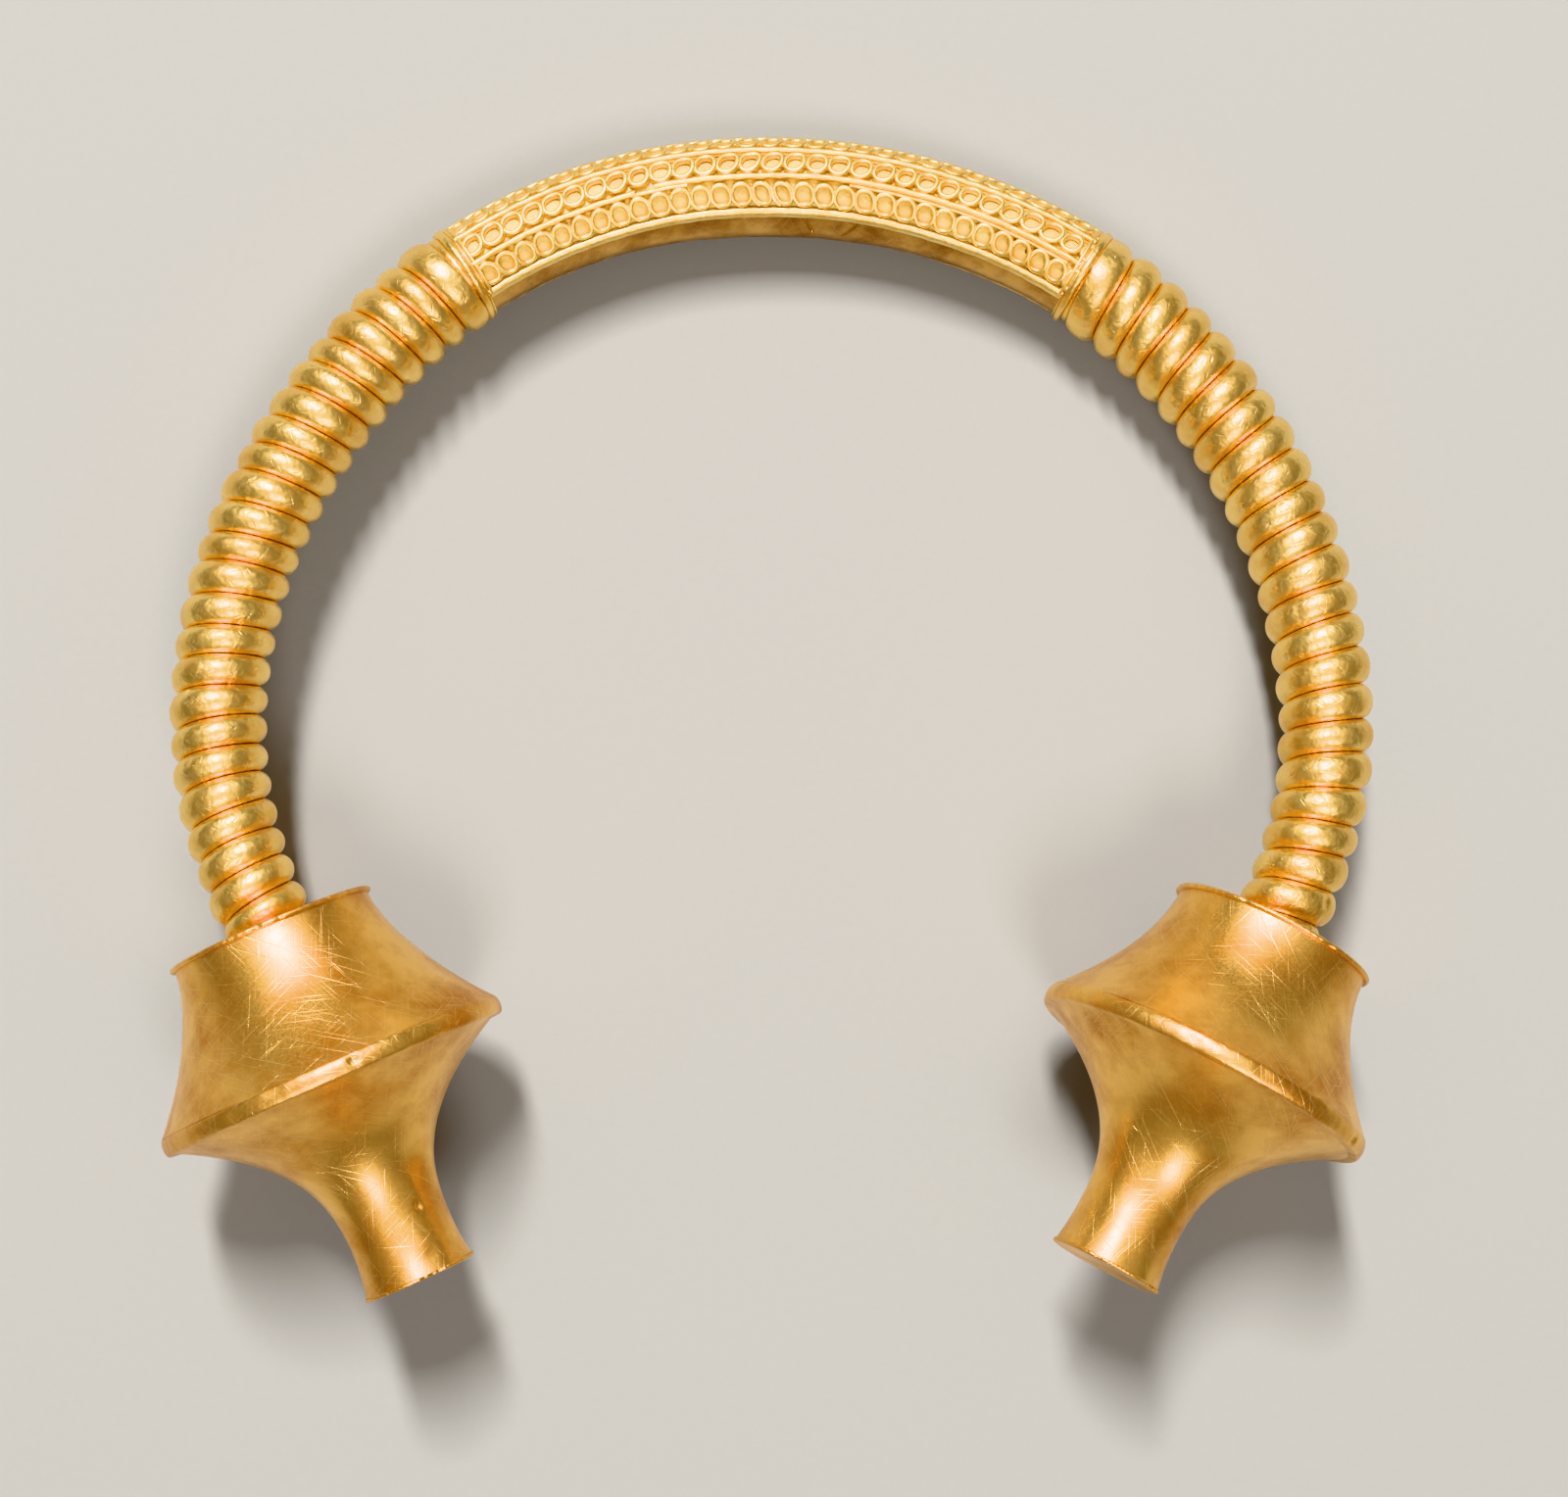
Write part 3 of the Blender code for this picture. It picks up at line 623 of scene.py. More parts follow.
def dashes(tree, surface, lean, length_mm, width_mm):
    """Scattered straight marks that run one way over the surface, up to 1 in a mark and 0 off it."""
    # A mark reaches this share of its cell to each side of its middle, and fades beyond its core
    reach, core = 0.2, 0.06
    # From a mark's length or width in millimetres to its cell's in metres
    to_cell = 1 / 2000 / reach
    stretched = add(tree, "ShaderNodeMapping", {
        "Vector": surface,
        "Rotation": (0.0, 0.0, math.radians(lean)),
        "Scale": (length_mm * to_cell, width_mm * to_cell, 1.0),
    }, vector_type="TEXTURE")
    distance = add(tree, "ShaderNodeTexVoronoi", {"Vector": stretched, "Scale": 1.0}, voronoi_dimensions="2D")
    mark = add(tree, "ShaderNodeMapRange", {0: distance, 1: core, 2: reach, 3: 1.0, 4: 0.0})
    # Some cells hold no mark and others a faint one
    chance = distance.node.outputs["Color"]
    strength = add(tree, "ShaderNodeMapRange", {0: chance, 1: 0.4, 2: 0.9, 3: 0.0, 4: 1.0})
    return add(tree, "ShaderNodeMath", {0: mark, 1: strength}, operation="MULTIPLY")


def worked_gold(name, tone, shade, finish):
    """High-carat gold: fully metallic, patchy in tone, with a rubbed sheen, soft dents and fine marks.

    The heights of its grain, dents and marks are in tenths of a millimetre.
    """
    material = bpy.data.materials.new(name)
    material.use_nodes = True
    tree = material.node_tree
    shader = tree.nodes["Principled BSDF"]
    shader.inputs["Metallic"].default_value = 1.0
    coords = tree.nodes.new("ShaderNodeTexCoord").outputs["Object"]
    surface = add(tree, "ShaderNodeUVMap", uv_map="surface")

    # The stretch of a noise's values that is spread over the whole of its effect
    patch_low, patch_high = 0.38, 0.68
    grain_low, grain_high = 0.35, 0.65
    patches, grain, hammer = (
        add(tree, "ShaderNodeTexNoise", {
            "Vector": coords,
            "Scale": per_metre(finish[span]),
            "Detail": detail,
            "Roughness": roughness,
        })
        for span, detail, roughness in (
            ("patch_mm", 4.0, 0.6), ("grain_mm", 2.0, 0.6), ("hammer_mm", 1.0, 0.5)
        )
    )
    duller = add(tree, "ShaderNodeMapRange", {
        0: patches, 1: patch_low, 2: patch_high, 3: 0.0, 4: 1.0
    })
    colour = add(tree, "ShaderNodeMix", {0: duller, 6: linear(tone), 7: linear(shade)}, data_type="RGBA")
    colour = colour.node.outputs[2]

    height = add(tree, "ShaderNodeMath", {0: grain, 1: finish["grain_depth"]}, operation="MULTIPLY")
    height = add(tree, "ShaderNodeMath", {0: hammer, 1: finish["hammer_depth"], 2: height},
                 operation="MULTIPLY_ADD")
    marks = 0.0
    # Each mark lowers the surface, and marks that cross don't add up past 1
    for lean, length_mm, width_mm, depth in finish["marks"]:
        mark = dashes(tree, surface, lean, length_mm, width_mm)
        height = add(tree, "ShaderNodeMath", {0: mark, 1: -depth, 2: height}, operation="MULTIPLY_ADD")
        marks = add(tree, "ShaderNodeMath", {0: marks, 1: mark}, operation="ADD", use_clamp=True)
    if finish["marks"]:
        # Painted glint: a scratch is painted paler than the dull patch it crosses, partly as the bright metal
        # under the tarnish and partly as a painted glint, and is nearly lost on bright gold
        bright = add(tree, "ShaderNodeMapRange", {
            0: duller, 1: 0.0, 2: 1.0, 3: 0.2, 4: finish["mark_paleness_and_glint"]
        })
        pale = add(tree, "ShaderNodeMath", {0: marks, 1: bright}, operation="MULTIPLY")
        colour = add(tree, "ShaderNodeMix", {
            0: pale,
            6: colour,
            7: linear(finish["mark_tone_and_glint"]),
        }, data_type="RGBA").node.outputs[2]
    tree.links.new(colour, shader.inputs["Base Color"])

    low, high = finish["roughness"]
    sheen = add(tree, "ShaderNodeMapRange", {
        0: grain, 1: grain_low, 2: grain_high, 3: low, 4: high
    })
    sheen = add(tree, "ShaderNodeMath", {0: duller, 1: finish["dulling"], 2: sheen}, operation="MULTIPLY_ADD")
    tree.links.new(sheen, shader.inputs["Roughness"])
    normal = add(tree, "ShaderNodeBump", {"Height": height, "Distance": 0.0001, "Strength": 1.0})
    tree.links.new(normal, shader.inputs["Normal"])
    return material


# Sheet gold raised by hammer, then scraped and handled: satin, with fine scratches every way. Each mark
# is its lean in degrees, its length and width in millimetres and its depth in tenths of a millimetre.
# The real hairs and grain are under 0.1 mm wide, too fine to show, so they are drawn wider.
SHEET_FINISH = {
    "patch_mm": 12.0,
    "marks": (
        (20.0, 9.0, 0.17, 0.20),
        (65.0, 7.0, 0.15, 0.18),
        (112.0, 10.0, 0.17, 0.20),
        (155.0, 6.0, 0.15, 0.18),
        (40.0, 18.0, 0.24, 0.28),
    ),
    # The scratches' pale tone is partly the bright metal under the tarnish and partly a painted glint
    "mark_paleness_and_glint": 0.65,
    "mark_tone_and_glint": "#FFE6AC",
    "roughness": (0.28, 0.34),
    "dulling": 0.08,
    "grain_mm": 0.5,
    "grain_depth": 0.06,
    "hammer_mm": 9.0,
    "hammer_depth": 0.9,
}

# The band round the flange has taken every knock: small soft dents side by side
BAND_FINISH = dict(SHEET_FINISH, hammer_mm=1.4, hammer_depth=0.5)

# The bar's plain inner face. Its tones are darker than the sheet's, in random patches: partly a brown handled
# patina, partly painted shade standing in for the dark that the face reflects
FACE_FINISH = dict(SHEET_FINISH, patch_mm=7.0, hammer_mm=5.0, mark_paleness_and_glint=0.3, dulling=0.12)

# Thick wire burnished by wear: smoother, with small dings along its rounded face
WIRE_FINISH = dict(
    SHEET_FINISH,
    patch_mm=8.0,
    marks=(
        (15.0, 5.0, 0.16, 0.18),
        (100.0, 4.0, 0.16, 0.18),
        (60.0, 1.5, 0.5, 0.45),
        (140.0, 2.2, 0.32, 0.35),
    ),
    mark_paleness_and_glint=0.4,
    roughness=(0.27, 0.33),
    dulling=0.06,
    grain_mm=0.8,
    grain_depth=0.35,
    hammer_mm=1.4,
    hammer_depth=1.3,
)

# Fine wire soldered down on a sheet: its surface is flooded with solder, soft and a little grainy
ORNAMENT_FINISH = dict(
    WIRE_FINISH,
    patch_mm=5.0,
    marks=(),
    roughness=(0.32, 0.40),
    grain_mm=0.4,
    grain_depth=0.3,
    hammer_mm=1.8,
    hammer_depth=0.6,
)

# The sheet under the loops, which no hand has rubbed: matt and pale
BED_FINISH = dict(ORNAMENT_FINISH, roughness=(0.58, 0.78), grain_depth=0.5)


# Each use's material, its pair of tones among the settings, and its finish
GOLDS = {
    "sheet": ("Satin_sheet_gold", "sheet", SHEET_FINISH),
    "band": ("Knocked_band_gold", "sheet", BAND_FINISH),
    # The plain face's material carries painted shade in its darker tones, besides a handled patina
    "face": ("Handled_face_gold_with_painted_shade", "face", FACE_FINISH),
    "wire": ("Burnished_wire_gold", "wire", WIRE_FINISH),
    "ornament": ("Soldered_filigree_gold", "ornament", ORNAMENT_FINISH),
    "bed": ("Matt_bed_gold", "bed", BED_FINISH),
}


def gold_of(context, use):
    """The material for one use, made the first time that it is asked for."""
    gold = context.scene.torc.gold
    name, tones, finish = GOLDS[use]
    return bpy.data.materials.get(name) or worked_gold(
        name, getattr(gold, tones), getattr(gold, tones + "_shade"), finish
    )


# The pieces


class TORC_OT_bar(bpy.types.Operator):
    """Builds the bar: two rods and the swollen middle with its bed for the ornament"""

    bl_idname = "torc.bar"
    bl_label = "Bar"

    stations: whole("Stations", 260, "Sections along the middle")
    sides: whole("Sides", 96, "Points round the bar")

    def execute(self, context):
        plan = Plan(context.scene.torc)
        bed_depth = plan.ornament.bed_depth
        edge_arc = plan.lanes()[-1]
        angles = with_closer(full_circle(self.sides), np.radians(NICKED_FACE))
        middle = with_closer(np.linspace(0.0, 1.0, self.stations), NICKED_STRETCH, HOLED_STRETCH)
        middle = plan.start + (plan.end - plan.start) * middle

        plain = plan.middle_radius(middle)[:, None]
        arc = np.abs(wrapped(angles)) * plain
        # The core stays clear of the back of the bed's slip, goes down to it in a short slope, and is
        # worn down a little everywhere
        spare, slope, worn = 0.0002, 0.0004, 0.00005
        under_bed = (bed_depth + spare) * np.clip((edge_arc - arc) / slope, 0.0, 1.0)
        rubbed = wavy(middle[:, None] * 1000, (0.00003, 0.45, 0.3), (0.00002, 1.3, 1.1))
        rubbed = rubbed + wavy(arc * 1000, (0.00002, 0.7, 1.0)) - worn
        cut = bar_marks(plan, middle[:, None], angles * plain)
        parts = np.linspace(0.0, 1.0, 40)
        rod = plan.wound_radius(parts) - plan.windings.wire_depth - plan.hoop.rod_clearance
        rod = np.tile(rod[:, None], (1, len(angles)))
        right, left = (
            collar_end + (terminal_end - collar_end) * parts
            for terminal_end, collar_end in plan.limbs.values()
        )
        lengths = np.concatenate([right[::-1], middle, left])[:, None]
        radii = np.concatenate([rod[::-1], plain - under_bed + rubbed - cut, rod])
        work = Metalwork()
        work.skin(plan.line.around(lengths, angles, radii))
        work.piece("bar_core", plan.laid_down, gold_of(context, "face"), "rubbed_gold", "bar")

        # The sheet that the loops lie on, a closed slip of metal let into the core
        thickness = 0.0012
        arc = with_closer(np.linspace(-edge_arc, edge_arc, self.sides), HOLED_ARC)
        front = np.stack(np.broadcast_arrays(middle[:, None], arc, -bed_depth), -1)
        back = front[:, ::-1] - np.array([0.0, 0.0, thickness])
        length, arc = front[..., 0], front[..., 1]
        dimples = wavy(length * 1000, (0.00002, 2.9, 0.0)) * np.sin(arc * 2300)
        front[..., 2] += dimples - bar_marks(plan, length, arc)
        ring = np.concatenate([front, back], 1)
        sheet = Metalwork()
        sheet.skin(plan.on_bar(ring[..., 0], ring[..., 1], ring[..., 2]))
        sheet.piece("ornament_bed", plan.laid_down, gold_of(context, "bed"), "rubbed_gold", "bar")
        return {"FINISHED"}


class TORC_OT_straight_wires(bpy.types.Operator):
    """Lays the straight wires between the rows of loops and along their edges"""

    bl_idname = "torc.straight_wires"
    bl_label = "Straight wires"

    stations: whole("Stations", 220, "Sections along each wire")

    def lay(self, plan, work, arc, first=0.0, last=1.0, offset=0.0, width=1.0, height=1.0):
        """One straight wire from first to last, both shares of the middle; offset is sideways, and width
        and height are shares of the usual ones."""
        o = plan.ornament
        span = plan.end - plan.start
        sections = max(int(self.stations * (last - first)), 8)
        length = np.linspace(plan.start + span * first, plan.start + span * last, sections)
        tall = o.wire_height * height * plan.room_under(arc)
        half_height = (tall + o.bed_depth) / 2
        wander = wavy(length * 1000, (0.00005, 0.21, arc * 4000), (0.00003, 0.9, arc * 900))
        bumps = wavy(length * 1000, (0.00003, 1.7, arc * 700), (0.00002, 3.1, 0.4))
        path = np.stack([length, arc + offset + wander, tall - half_height + bumps], 1)
        work.skin(bent_wire(plan, path, o.wire_width / 2 * width, half_height))

    def execute(self, context):
        plan = Plan(context.scene.torc)
        work = Metalwork()
        o = plan.ornament
        arcs = plan.lanes()
        mended = arcs[-2]
        for arc in arcs:
            if arc in (arcs[0], arcs[-1]):
                self.lay(plan, work, arc, width=o.edge_wire_width / o.wire_width)
            elif arc != mended:
                self.lay(plan, work, arc)
        # The wire over the edge row is in two lengths that miss each other, and is doubled on the right
        for length_of_wire in MENDED_WIRE:
            self.lay(plan, work, mended, *length_of_wire)
        # A blob of solder closes the left length, at this share of the middle
        blob_at = plan.start + (plan.end - plan.start) * 0.725
        work.skin(blob(plan, blob_at, mended + 0.0001, long=0.0009, wide=0.0007, tall=0.0009))
        # A thin wire closes the rows at each end
        arc = np.linspace(arcs[0], arcs[-1], 120)
        half_width = o.wire_width * 0.4
        half_height = (o.wire_height * plan.room_under(arc) + o.bed_depth) / 2
        for place in (plan.start + half_width, plan.end - half_width):
            path = np.stack([place + 0 * arc, arc, half_height - o.bed_depth], 1)
            work.skin(bent_wire(plan, path, half_width, half_height))
        work.piece("straight_wires", plan.laid_down, gold_of(context, "ornament"), "rubbed_gold", "bar")
        return {"FINISHED"}


class TORC_OT_looped_wires(bpy.types.Operator):
    """Lays a row of overlapping wire loops in each lane of the bar's middle"""

    bl_idname = "torc.looped_wires"
    bl_label = "Looped wires"

    steps: whole("Steps", 30, "Sections round each loop")

    def execute(self, context):
        plan = Plan(context.scene.torc)
        o = plan.ornament
        draw = np.random.RandomState(SEED)
        work = Metalwork()
        arcs = plan.lanes()
        lanes = list(zip(arcs, arcs[1:]))
        phase = full_circle(self.steps)
        lapped = 0.5 + 0.5 * np.cos(phase)
        half_wire = o.loop_wire / 2
        wire_widths = half_wire * (0.95 + 0.12 * lapped)
        # A loop is between round and square
        full = np.abs(np.cos(phase)) ** 4 + np.abs(np.sin(phase)) ** 4
        square = 0.8 + 0.2 * full ** -0.25
        across, upward = np.cos(phase) * square, np.sin(phase) * square
        # A strand runs from the top of a loop in an edge row down to the foot of the next on its right. It
        # is thinner than the loops, ends a little beyond them and lies lower at its foot.
        bend = np.sin(np.pi * np.linspace(-0.5, 0.5, 14))
        strand_reach = 0.40 * bend * np.abs(bend) ** 1.2
        strand_width, strand_beyond, strand_fall = 0.8, 0.0001, 0.00005
        # How unevenly the loops are bent: spreads of their place and lean in metres, and of their
        # width, height and bulge as shares
        place_spread, lean_spread = 0.00006, 0.00010
        width_spread, height_spread, bulge_spread = 0.04, 0.02, 0.05
        for lane, (low, high) in enumerate(lanes):
            edge_row = lane in (0, len(lanes) - 1)
            loops = o.edge_loops if edge_row else o.loops
            loop_width = o.edge_loop_width if edge_row else o.loop_width
            row_lean = -0.0001 if edge_row else 0.0003
            pitch = (plan.end - plan.start) / (loops - LAST_LOOP_CUT)
            low += (o.edge_wire_width if lane == 0 else o.wire_width) / 2 + o.loop_room
            high -= (o.edge_wire_width if lane == len(lanes) - 1 else o.wire_width) / 2 + o.loop_room
            middle = (low + high) / 2
            reach = (high - low) / 2 - half_wire
            mirror = 1.0 if middle >= 0 else -1.0
            tall = o.loop_height * plan.room_under(middle)
            half_height = (tall - LAP_RISE + o.bed_depth) / 2
            height = tall - LAP_RISE - half_height + LAP_RISE * lapped
            for k in range(loops):
                shift, squeeze, lean, bulge = draw.normal(0.0, 1.0, 4)
                centre = plan.end - pitch * (k + 0.5) + shift * place_spread
                half = (loop_width / 2 - half_wire) * (1 + squeeze * width_spread)
                skew = (lean * lean_spread + row_lean) * mirror
                if edge_row and mirror > 0 and k in SKEWED_LOOPS:
                    skew += SKEW
                    half *= SKEWED_WIDTH
                # Lengths grow to the left: the right side of a loop laps the left side of the next
                along = centre - half * across * (1 + bulge_spread * bulge * upward) + skew * upward
                along = np.maximum(along, plan.start - UNDER_COLLAR)
                arc = middle + mirror * reach * (1 + height_spread * squeeze) * upward
                path = np.stack([along, arc, height], 1)
                work.skin(bent_wire(plan, path, wire_widths, half_height, looped=True), looped=True)
                if edge_row and k < loops - 1:
                    strand = np.stack([
                        centre - pitch * (0.5 + strand_reach),
                        middle + mirror * (reach + strand_beyond) * bend,
                        tall - half_height - strand_fall * (1 + bend),
                    ], 1)
                    work.skin(bent_wire(plan, strand, half_wire * strand_width, half_height))
        work.piece("looped_wires", plan.laid_down, gold_of(context, "ornament"), "rubbed_gold", "bar")
        return {"FINISHED"}


class TORC_OT_collars(bpy.types.Operator):
    """Builds the collar at each end of the ornament: a broad bead, and a thin one beside the ornament"""

    bl_idname = "torc.collars"
    bl_label = "Collars"

    sides: whole("Sides", 128, "Points round each collar")

    def execute(self, context):
        plan = Plan(context.scene.torc)
        outer = plan.hoop.shoulder_radius + plan.hoop.collar_proud
        bore = plan.wound_radius(0.0) - plan.windings.wire_depth
        half = plan.hoop.collar_width / 2
        turns = np.linspace(-np.pi / 2, np.pi / 2, 13)
        angles = full_circle(self.sides)[:, None]
        worn = wavy(angles, (0.00005, 2.0, 0.5), (0.00003, 7.0, 1.0))
        # Beads from the right to the left edge of each collar: from and to as shares of its half width,
        # and in metres how much lower than the collar's height the bead stands
        collars = (
            ("right", plan.right_collar, ((-1.0, 0.62, 0.0), (0.62, 1.0, 0.0005))),
            ("left", plan.left_collar, ((-1.0, -0.5, 0.0003), (-0.5, 1.0, 0.0))),
        )
        flatness = 0.75
        for side, length, beads in collars:
            along, radii = [], []
            for low, high, lower in beads:
                bead_half = half * (high - low) / 2
                along.append(half * (high + low) / 2 + bead_half * np.sin(turns))
                radii.append(outer - lower - bead_half * flatness * (1 - np.cos(turns)))
            along = np.concatenate(along + [[half, -half]])
            radii = np.concatenate(radii + [[bore, bore]])
            work = Metalwork()
            work.skin(plan.line.around(length + along, angles, radii + worn), looped=True)
            name = side + "_collar_ring"
            work.piece(name, plan.laid_down, gold_of(context, "wire"), "rubbed_gold", side + "_collar")
        return {"FINISHED"}


class TORC_OT_windings(bpy.types.Operator):
    """Winds thick wire round each limb, from its collar to the terminal's disc"""

    bl_idname = "torc.windings"
    bl_label = "Windings"

    steps: whole("Steps", 96, "Sections in one turn")
    run_out: share("Run out", 0.47, "How much of a turn the thinned wire runs on at each end")

    def execute(self, context):
        plan = Plan(context.scene.torc)
        w = plan.windings
        # A turn's section: its rounded face, then its back, as shares of its half width and its depth
        face = np.sin(np.linspace(-np.pi / 2, np.pi / 2, 15))
        rounding = 1 - (1 - np.abs(face) ** w.fullness) ** (1 / w.fullness)
        back = np.array([0.92, 0.55, -0.55, -0.92])
        back_depth = np.array([0.74, 1.0, 1.0, 0.74]) * w.wire_depth
        # The room between two turns, the width that the wire thins to at its ends, and how far it sinks
        # there
        between_turns, thinnest, sinking = 0.00005, 0.0001, 0.0016
        # Where a turn lies against the collar its face stays full, so that no groove opens there: the
        # groove starts at this share of its depth and is full after this share of a turn's width
        groove_start, groove_after = 0.25, 0.6
        for side, sign in (("right", 1), ("left", -1)):
            turns = getattr(w, side + "_turns")
            terminal_end, collar_end = plan.limbs[side]
            limb_length = abs(collar_end - terminal_end)
            pitch = limb_length / turns
            sections = int((turns + 2 * self.run_out) * self.steps)
            t = np.linspace(-0.5 - self.run_out, turns - 0.5 + self.run_out, sections)

            def edge(place):
                """Where the boundary between two turns lies, from the collar."""
                drift = wavy(place, (0.030, 1.9, 0.7 + turns), (0.022, 4.3, 2.0), (0.012, 9.1, 0.3))
                return pitch * (place + drift)

            near = np.clip(edge(t), 0.0, limb_length)
            far = np.clip(edge(t + 1), 0.0, limb_length)
            width = np.maximum(far - near - between_turns, thinnest)
            thinned = np.clip(width / pitch, 0.02, 1.0)
            dents = wavy(t, (0.00005, 2.7, 1.0), (0.00004, 6.7, 0.0), (0.00003, 15.1, 2.0))
            outside = (plan.wound_radius((t + 0.5) / turns) + dents)[:, None]
            against = np.clip(near / (groove_after * pitch), groove_start, 1.0)[:, None]
            against = np.where(face < 0, against, 1.0)
            groove = w.groove_depth * np.minimum(1.0, thinned * 1.3)[:, None]
            fronts = groove * rounding * against + sinking * (1 - thinned)[:, None]
            depths = np.concatenate([fronts, np.tile(back_depth, (len(t), 1))], 1)
            along = np.concatenate([face, back]) * (width / 2)[:, None]
            length = collar_end - sign * ((near + far)[:, None] / 2 + along)
            angle = sign * (2 * np.pi * t + getattr(w, side + "_start"))[:, None]
            for place, degrees, reach, deep in WIRE_MARKS[side]:
                aside = wrapped(angle - math.radians(degrees)) * outside
                away = ((length - abs(terminal_end - place)) ** 2 + aside**2) / reach**2
                depths = depths + deep * np.exp(-away)
            points = plan.line.around(length, angle, outside - depths)
            # The last turns are ground flat against the terminal's disc
            axis = np.array(plan.axis(side))
            disc = np.array(plan.terminal_top(side)) + axis * HIDDEN_LAP
            travel = plan.line.frames(length)[1]
            past = (points - disc) @ axis
            back_off = np.where(past > 0, past / (travel @ axis), 0.0)
            work = Metalwork()
            work.skin(points - travel * back_off[..., None])
            work.piece(side + "_wound_wire", plan.laid_down, gold_of(context, "wire"), "wound_gold",
                       side + "_winding")
        return {"FINISHED"}


class TORC_OT_terminals(bpy.types.Operator):
    """Builds each terminal's top disc, two flared shells, flange band and end disc"""

    bl_idname = "torc.terminals"
    bl_label = "Terminals"

    sides: whole("Sides", 320, "Points round each terminal")

    def turned(self, plan, context, side, part, node, profile, seed, dents, nicks):
        """A turned skin with slow dents, from a profile of (radius, distance down) from axis to axis."""
        radii, downs = np.array(profile).T
        radii = np.maximum(radii, AXIS_HOLE)
        theta, down = np.meshgrid(full_circle(self.sides) - np.pi / 2, downs, indexing="ij")
        waves = (
            wavy(theta, (0.35, 2, seed), (0.25, 3, seed * 2.0), (0.15, 5, seed * 0.7))
            * np.sin(down * 120 + seed)
            + 0.5 * np.sin(4 * theta + down * 260 + seed)
            + 0.35 * np.sin(9 * theta - down * 410 + 2 * seed)
            + nicks * (np.sin(31 * theta + seed) * np.sin(47 * theta) + np.sin(73 * theta + 2 * seed) / 2)
        )
        # Less the most that the waves reach, so that they only cut in; the axis stays untouched
        waves = waves - 1.6 - 1.5 * nicks
        off_axis = radii > AXIS_HOLE
        radius = np.tile(radii, (self.sides, 1))
        for degrees, far, wide, tall, depth in MARKS[f"{side}_{node}"]:
            aside = wrapped(theta - math.radians(degrees)) * radius * 1000
            away = (aside / wide) ** 2 + ((down * 1000 - far) / tall) ** 2
            radius = radius - depth / 1000 * np.exp(-away) * off_axis
        radius = radius + dents * waves * off_axis
        grid = np.stack([radius * np.cos(theta), radius * np.sin(theta), -down], -1)
        work = Metalwork()
        work.skin(np.swapaxes(grid, 0, 1))
        finish = gold_of(context, "band" if node == "flange_band" else "sheet")
        work.piece(f"{side}_{part}", plan.terminal_place(side), finish, "worn_gold", f"{side}_{node}")

    @staticmethod
    def rounded_edge(radius, thickness, top):
        """The edge of a disc, from its upper face to its lower one."""
        half = thickness / 2
        return [
            (radius - half + half * math.sin(a), top + half - half * math.cos(a))
            for a in np.linspace(0.0, np.pi, 12)
        ]

    @staticmethod
    def flared(small, large, bend, steps):
        """A line from its small end to its large one, each a (radius, distance down), that flares."""
        return [
            (small[0] + (large[0] - small[0]) * part**bend, small[1] + (large[1] - small[1]) * part)
            for part in np.linspace(0.0, 1.0, steps)
        ]

    @staticmethod
    def to_axis(profile):
        """The profile with both its ends carried in to the axis."""
        return [(0.0, profile[0][1]), *profile, (0.0, profile[-1][1])]

    def execute(self, context):
        plan = Plan(context.scene.torc)
        t = plan.terminals
        half_band = t.band_width / 2
        end_top = t.length - t.end_thickness
        # How hollow the end disc's face is, how far the band's edges stand over the rim, and how far its
        # crest stays under the band's full height
        dished, band_foot, crest_room = 0.0001, 0.00025, 0.00005
        for side, seed in zip(SIDES, (1.7, 4.6)):
            flange = getattr(t, side + "_flange_radius")
            rim = flange - t.band_proud

            top_plate = [(part * t.disc_radius, 0.0) for part in np.linspace(0.1, 0.95, 12)]
            top_plate += self.rounded_edge(t.disc_radius, t.disc_thickness, 0.0)

            upper_flare = self.flared(
                (t.disc_radius - t.disc_overhang, t.disc_thickness - HIDDEN_LAP),
                (flange - t.band_proud * SHELL_UNDER_BAND, t.flange_distance - half_band + HIDDEN_LAP),
                getattr(t, side + "_upper_flare"), 72,
            )
            flange_strip = [
                (
                    rim + band_foot + (t.band_proud - band_foot - crest_room) * math.sqrt(1 - u * u),
                    t.flange_distance + u * half_band,
                )
                for u in np.linspace(-1.0, 1.0, 25)
            ]
            neck = (t.neck_radius, t.neck_distance)
            shoulder = (rim - t.band_proud, t.flange_distance + half_band - HIDDEN_LAP)
            lower_flare = self.flared(neck, shoulder, t.lower_flare, 72)[::-1]
            lower_flare += self.flared(neck, (t.end_radius - GAP, end_top + HIDDEN_LAP), 2, 16)[1:]

            end_plate = [(0.0, end_top)] + self.rounded_edge(t.end_radius, t.end_thickness, end_top)
            end_plate += [
                (part * t.end_radius, t.length - dished * (1 - part)) for part in np.linspace(0.9, 0.0, 10)
            ]

            parts = (
                ("top_plate", "top_disc", self.to_axis(top_plate), 0.00003, 1.5),
                ("upper_flare", "upper_shell", self.to_axis(upper_flare), 0.00009, 0.0),
                ("flange_strip", "flange_band", self.to_axis(flange_strip), 0.00004, 0.6),
                ("lower_flare", "lower_shell", self.to_axis(lower_flare), 0.00007, 0.0),
                ("end_plate", "end_disc", end_plate, 0.00003, 1.5),
            )
            for place, (part, node, profile, dents, nicks) in enumerate(parts):
                self.turned(plan, context, side, part, node, profile, seed + place, dents, nicks)
        return {"FINISHED"}


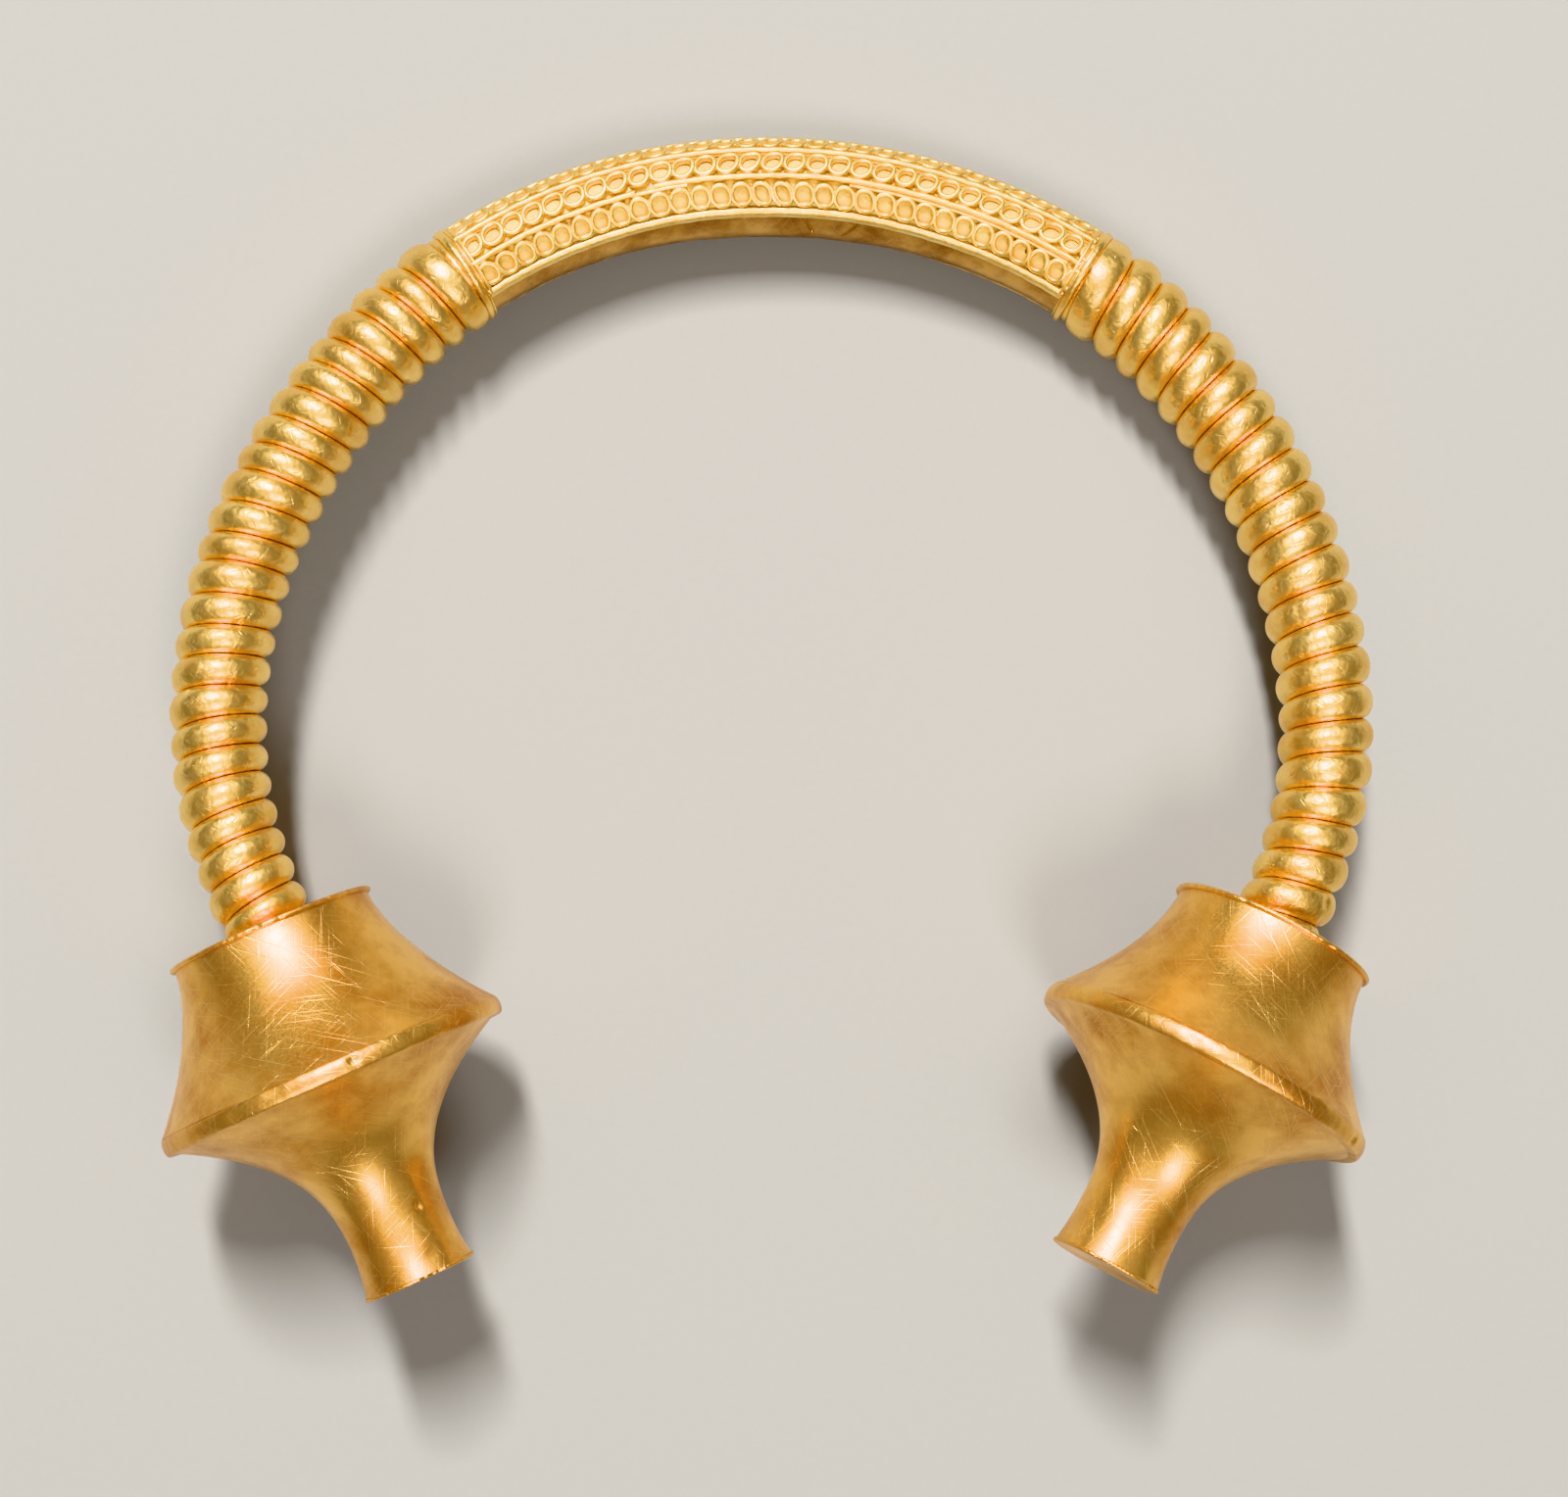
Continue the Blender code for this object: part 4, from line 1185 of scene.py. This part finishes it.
class TORC_OT_stage(bpy.types.Operator):
    """Adds the pale floor, soft studio lights and the camera that looks down on the torc"""

    bl_idname = "torc.stage"
    bl_label = "Stage"

    def light(self, name, place, energy, width, reach, colour):
        """A lamp aimed at the torc; reach is its size up the picture."""
        data = bpy.data.lights.new(name, "AREA")
        data.energy = energy
        data.shape = "RECTANGLE"
        data.size = width
        data.size_y = reach
        data.color = colour
        lamp = bpy.data.objects.new(name, data)
        lamp.location = place
        lamp.rotation_euler = (-Vector(place)).to_track_quat("-Z", "Y").to_euler()
        bpy.context.scene.collection.objects.link(lamp)

    def execute(self, context):
        stage = context.scene.torc.stage
        mesh = bpy.data.meshes.new("pale_floor")
        r = FLOOR_REACH
        mesh.from_pydata([(-r, -r, 0), (r, -r, 0), (r, r, 0), (-r, r, 0)], [], [(0, 1, 2, 3)])
        floor = bpy.data.objects.new("pale_floor", mesh)
        context.scene.collection.objects.link(floor)
        # Uncoated paper: no sheen, and a grey that varies a little with its fibres, which are drawn coarse
        fibre_mm, fibre_paleness = 1.5, 1.04
        paper = bpy.data.materials.new("Matt_paper")
        paper.use_nodes = True
        tree = paper.node_tree
        shader = tree.nodes["Principled BSDF"]
        coords = tree.nodes.new("ShaderNodeTexCoord").outputs["Object"]
        fibre = add(tree, "ShaderNodeTexNoise", {
            "Vector": coords,
            "Scale": per_metre(fibre_mm),
            "Detail": 3.0,
        })
        shade = linear(stage.floor)
        lighter = [min(c * fibre_paleness, 1.0) for c in shade[:3]] + [1.0]
        colour = add(tree, "ShaderNodeMix", {0: fibre, 6: shade, 7: lighter}, data_type="RGBA")
        tree.links.new(colour.node.outputs[2], shader.inputs["Base Color"])
        shader.inputs["Roughness"].default_value = 0.9
        mesh.materials.append(paper)

        self.light("key_strip", (-0.42, 2.10, 3.30), 360.0, 0.36, 1.20, (1.0, 0.99, 0.94))
        self.light("front_fill", (0.36, -1.80, 3.30), 85.0, 1.2, 1.2, (1.0, 0.97, 0.92))

        # A soft tent: brightest overhead and fading evenly to its foot, so that no edge shows in the gold,
        # with a low pale backdrop behind the floor, which fades out where the tent begins
        backdrop_glow, foot_glow, top_glow = 0.5, 0.12, 0.60
        fades_from, fades_to = 0.03, 0.1
        world = bpy.data.worlds.new("Soft_tent")
        world.use_nodes = True
        tree = world.node_tree
        direction = tree.nodes.new("ShaderNodeTexCoord").outputs["Generated"]
        height = add(tree, "ShaderNodeSeparateXYZ", {0: direction}).node.outputs["Z"]
        backdrop = add(tree, "ShaderNodeMapRange", {
            0: height, 1: fades_from, 2: fades_to, 3: backdrop_glow, 4: 0.0
        })
        tent = add(tree, "ShaderNodeMapRange", {
            0: height, 1: fades_to, 2: 1.0, 3: foot_glow, 4: top_glow
        })
        glow = add(tree, "ShaderNodeMath", {0: tent, 1: backdrop}, operation="ADD")
        background = tree.nodes["Background"]
        background.inputs["Color"].default_value = (1.0, 0.88, 0.74, 1.0)
        tree.links.new(glow, background.inputs["Strength"])
        context.scene.world = world
        context.scene.view_settings.view_transform = "Khronos PBR Neutral"

        data = bpy.data.cameras.new("overhead_camera")
        data.lens = stage.lens
        data.sensor_width = 36.0
        data.clip_start = 0.01
        camera = bpy.data.objects.new("overhead_camera", data)
        forward = Vector((math.tan(stage.yaw), math.tan(stage.pitch), -1.0)).normalized()
        right = forward.cross(Vector((0, 1, 0))).normalized()
        facing = Matrix((right, right.cross(forward), -forward)).transposed().to_4x4()
        place = Vector((stage.camera_x, stage.camera_y, stage.camera_height))
        camera.matrix_world = Matrix.Translation(place) @ facing
        context.scene.collection.objects.link(camera)
        context.scene.camera = camera
        return {"FINISHED"}


class TORC_PT_panel(bpy.types.Panel):
    """Lists the torc's pieces and their sizes"""

    bl_idname = "TORC_PT_panel"
    bl_label = "Gold torc"
    bl_space_type = "VIEW_3D"
    bl_region_type = "UI"
    bl_category = "Torc"

    def draw(self, context):
        for operator in OPERATORS:
            self.layout.operator(operator.bl_idname)
        settings = context.scene.torc
        for name in ("hoop", "ornament", "windings", "terminals", "gold", "stage"):
            group = getattr(settings, name)
            box = self.layout.box()
            box.label(text=name.capitalize())
            for field in group.__annotations__:
                box.prop(group, field)


GROUPS = (TorcHoop, TorcOrnament, TorcWindings, TorcTerminals, TorcGold, TorcStage, TorcSettings)
OPERATORS = (
    TORC_OT_bar,
    TORC_OT_straight_wires,
    TORC_OT_looped_wires,
    TORC_OT_collars,
    TORC_OT_windings,
    TORC_OT_terminals,
    TORC_OT_stage,
)
CLASSES = GROUPS + OPERATORS + (TORC_PT_panel,)


def register():
    for cls in CLASSES:
        bpy.utils.register_class(cls)
    bpy.types.Scene.torc = bpy.props.PointerProperty(type=TorcSettings)


def unregister():
    del bpy.types.Scene.torc
    for cls in reversed(CLASSES):
        bpy.utils.unregister_class(cls)


def main():
    register()
    bpy.ops.torc.bar()
    bpy.ops.torc.straight_wires()
    bpy.ops.torc.looped_wires()
    bpy.ops.torc.collars()
    bpy.ops.torc.windings()
    bpy.ops.torc.terminals()
    bpy.ops.torc.stage()
    bpy.context.view_layer.update()


if __name__ == "__main__":
    main()
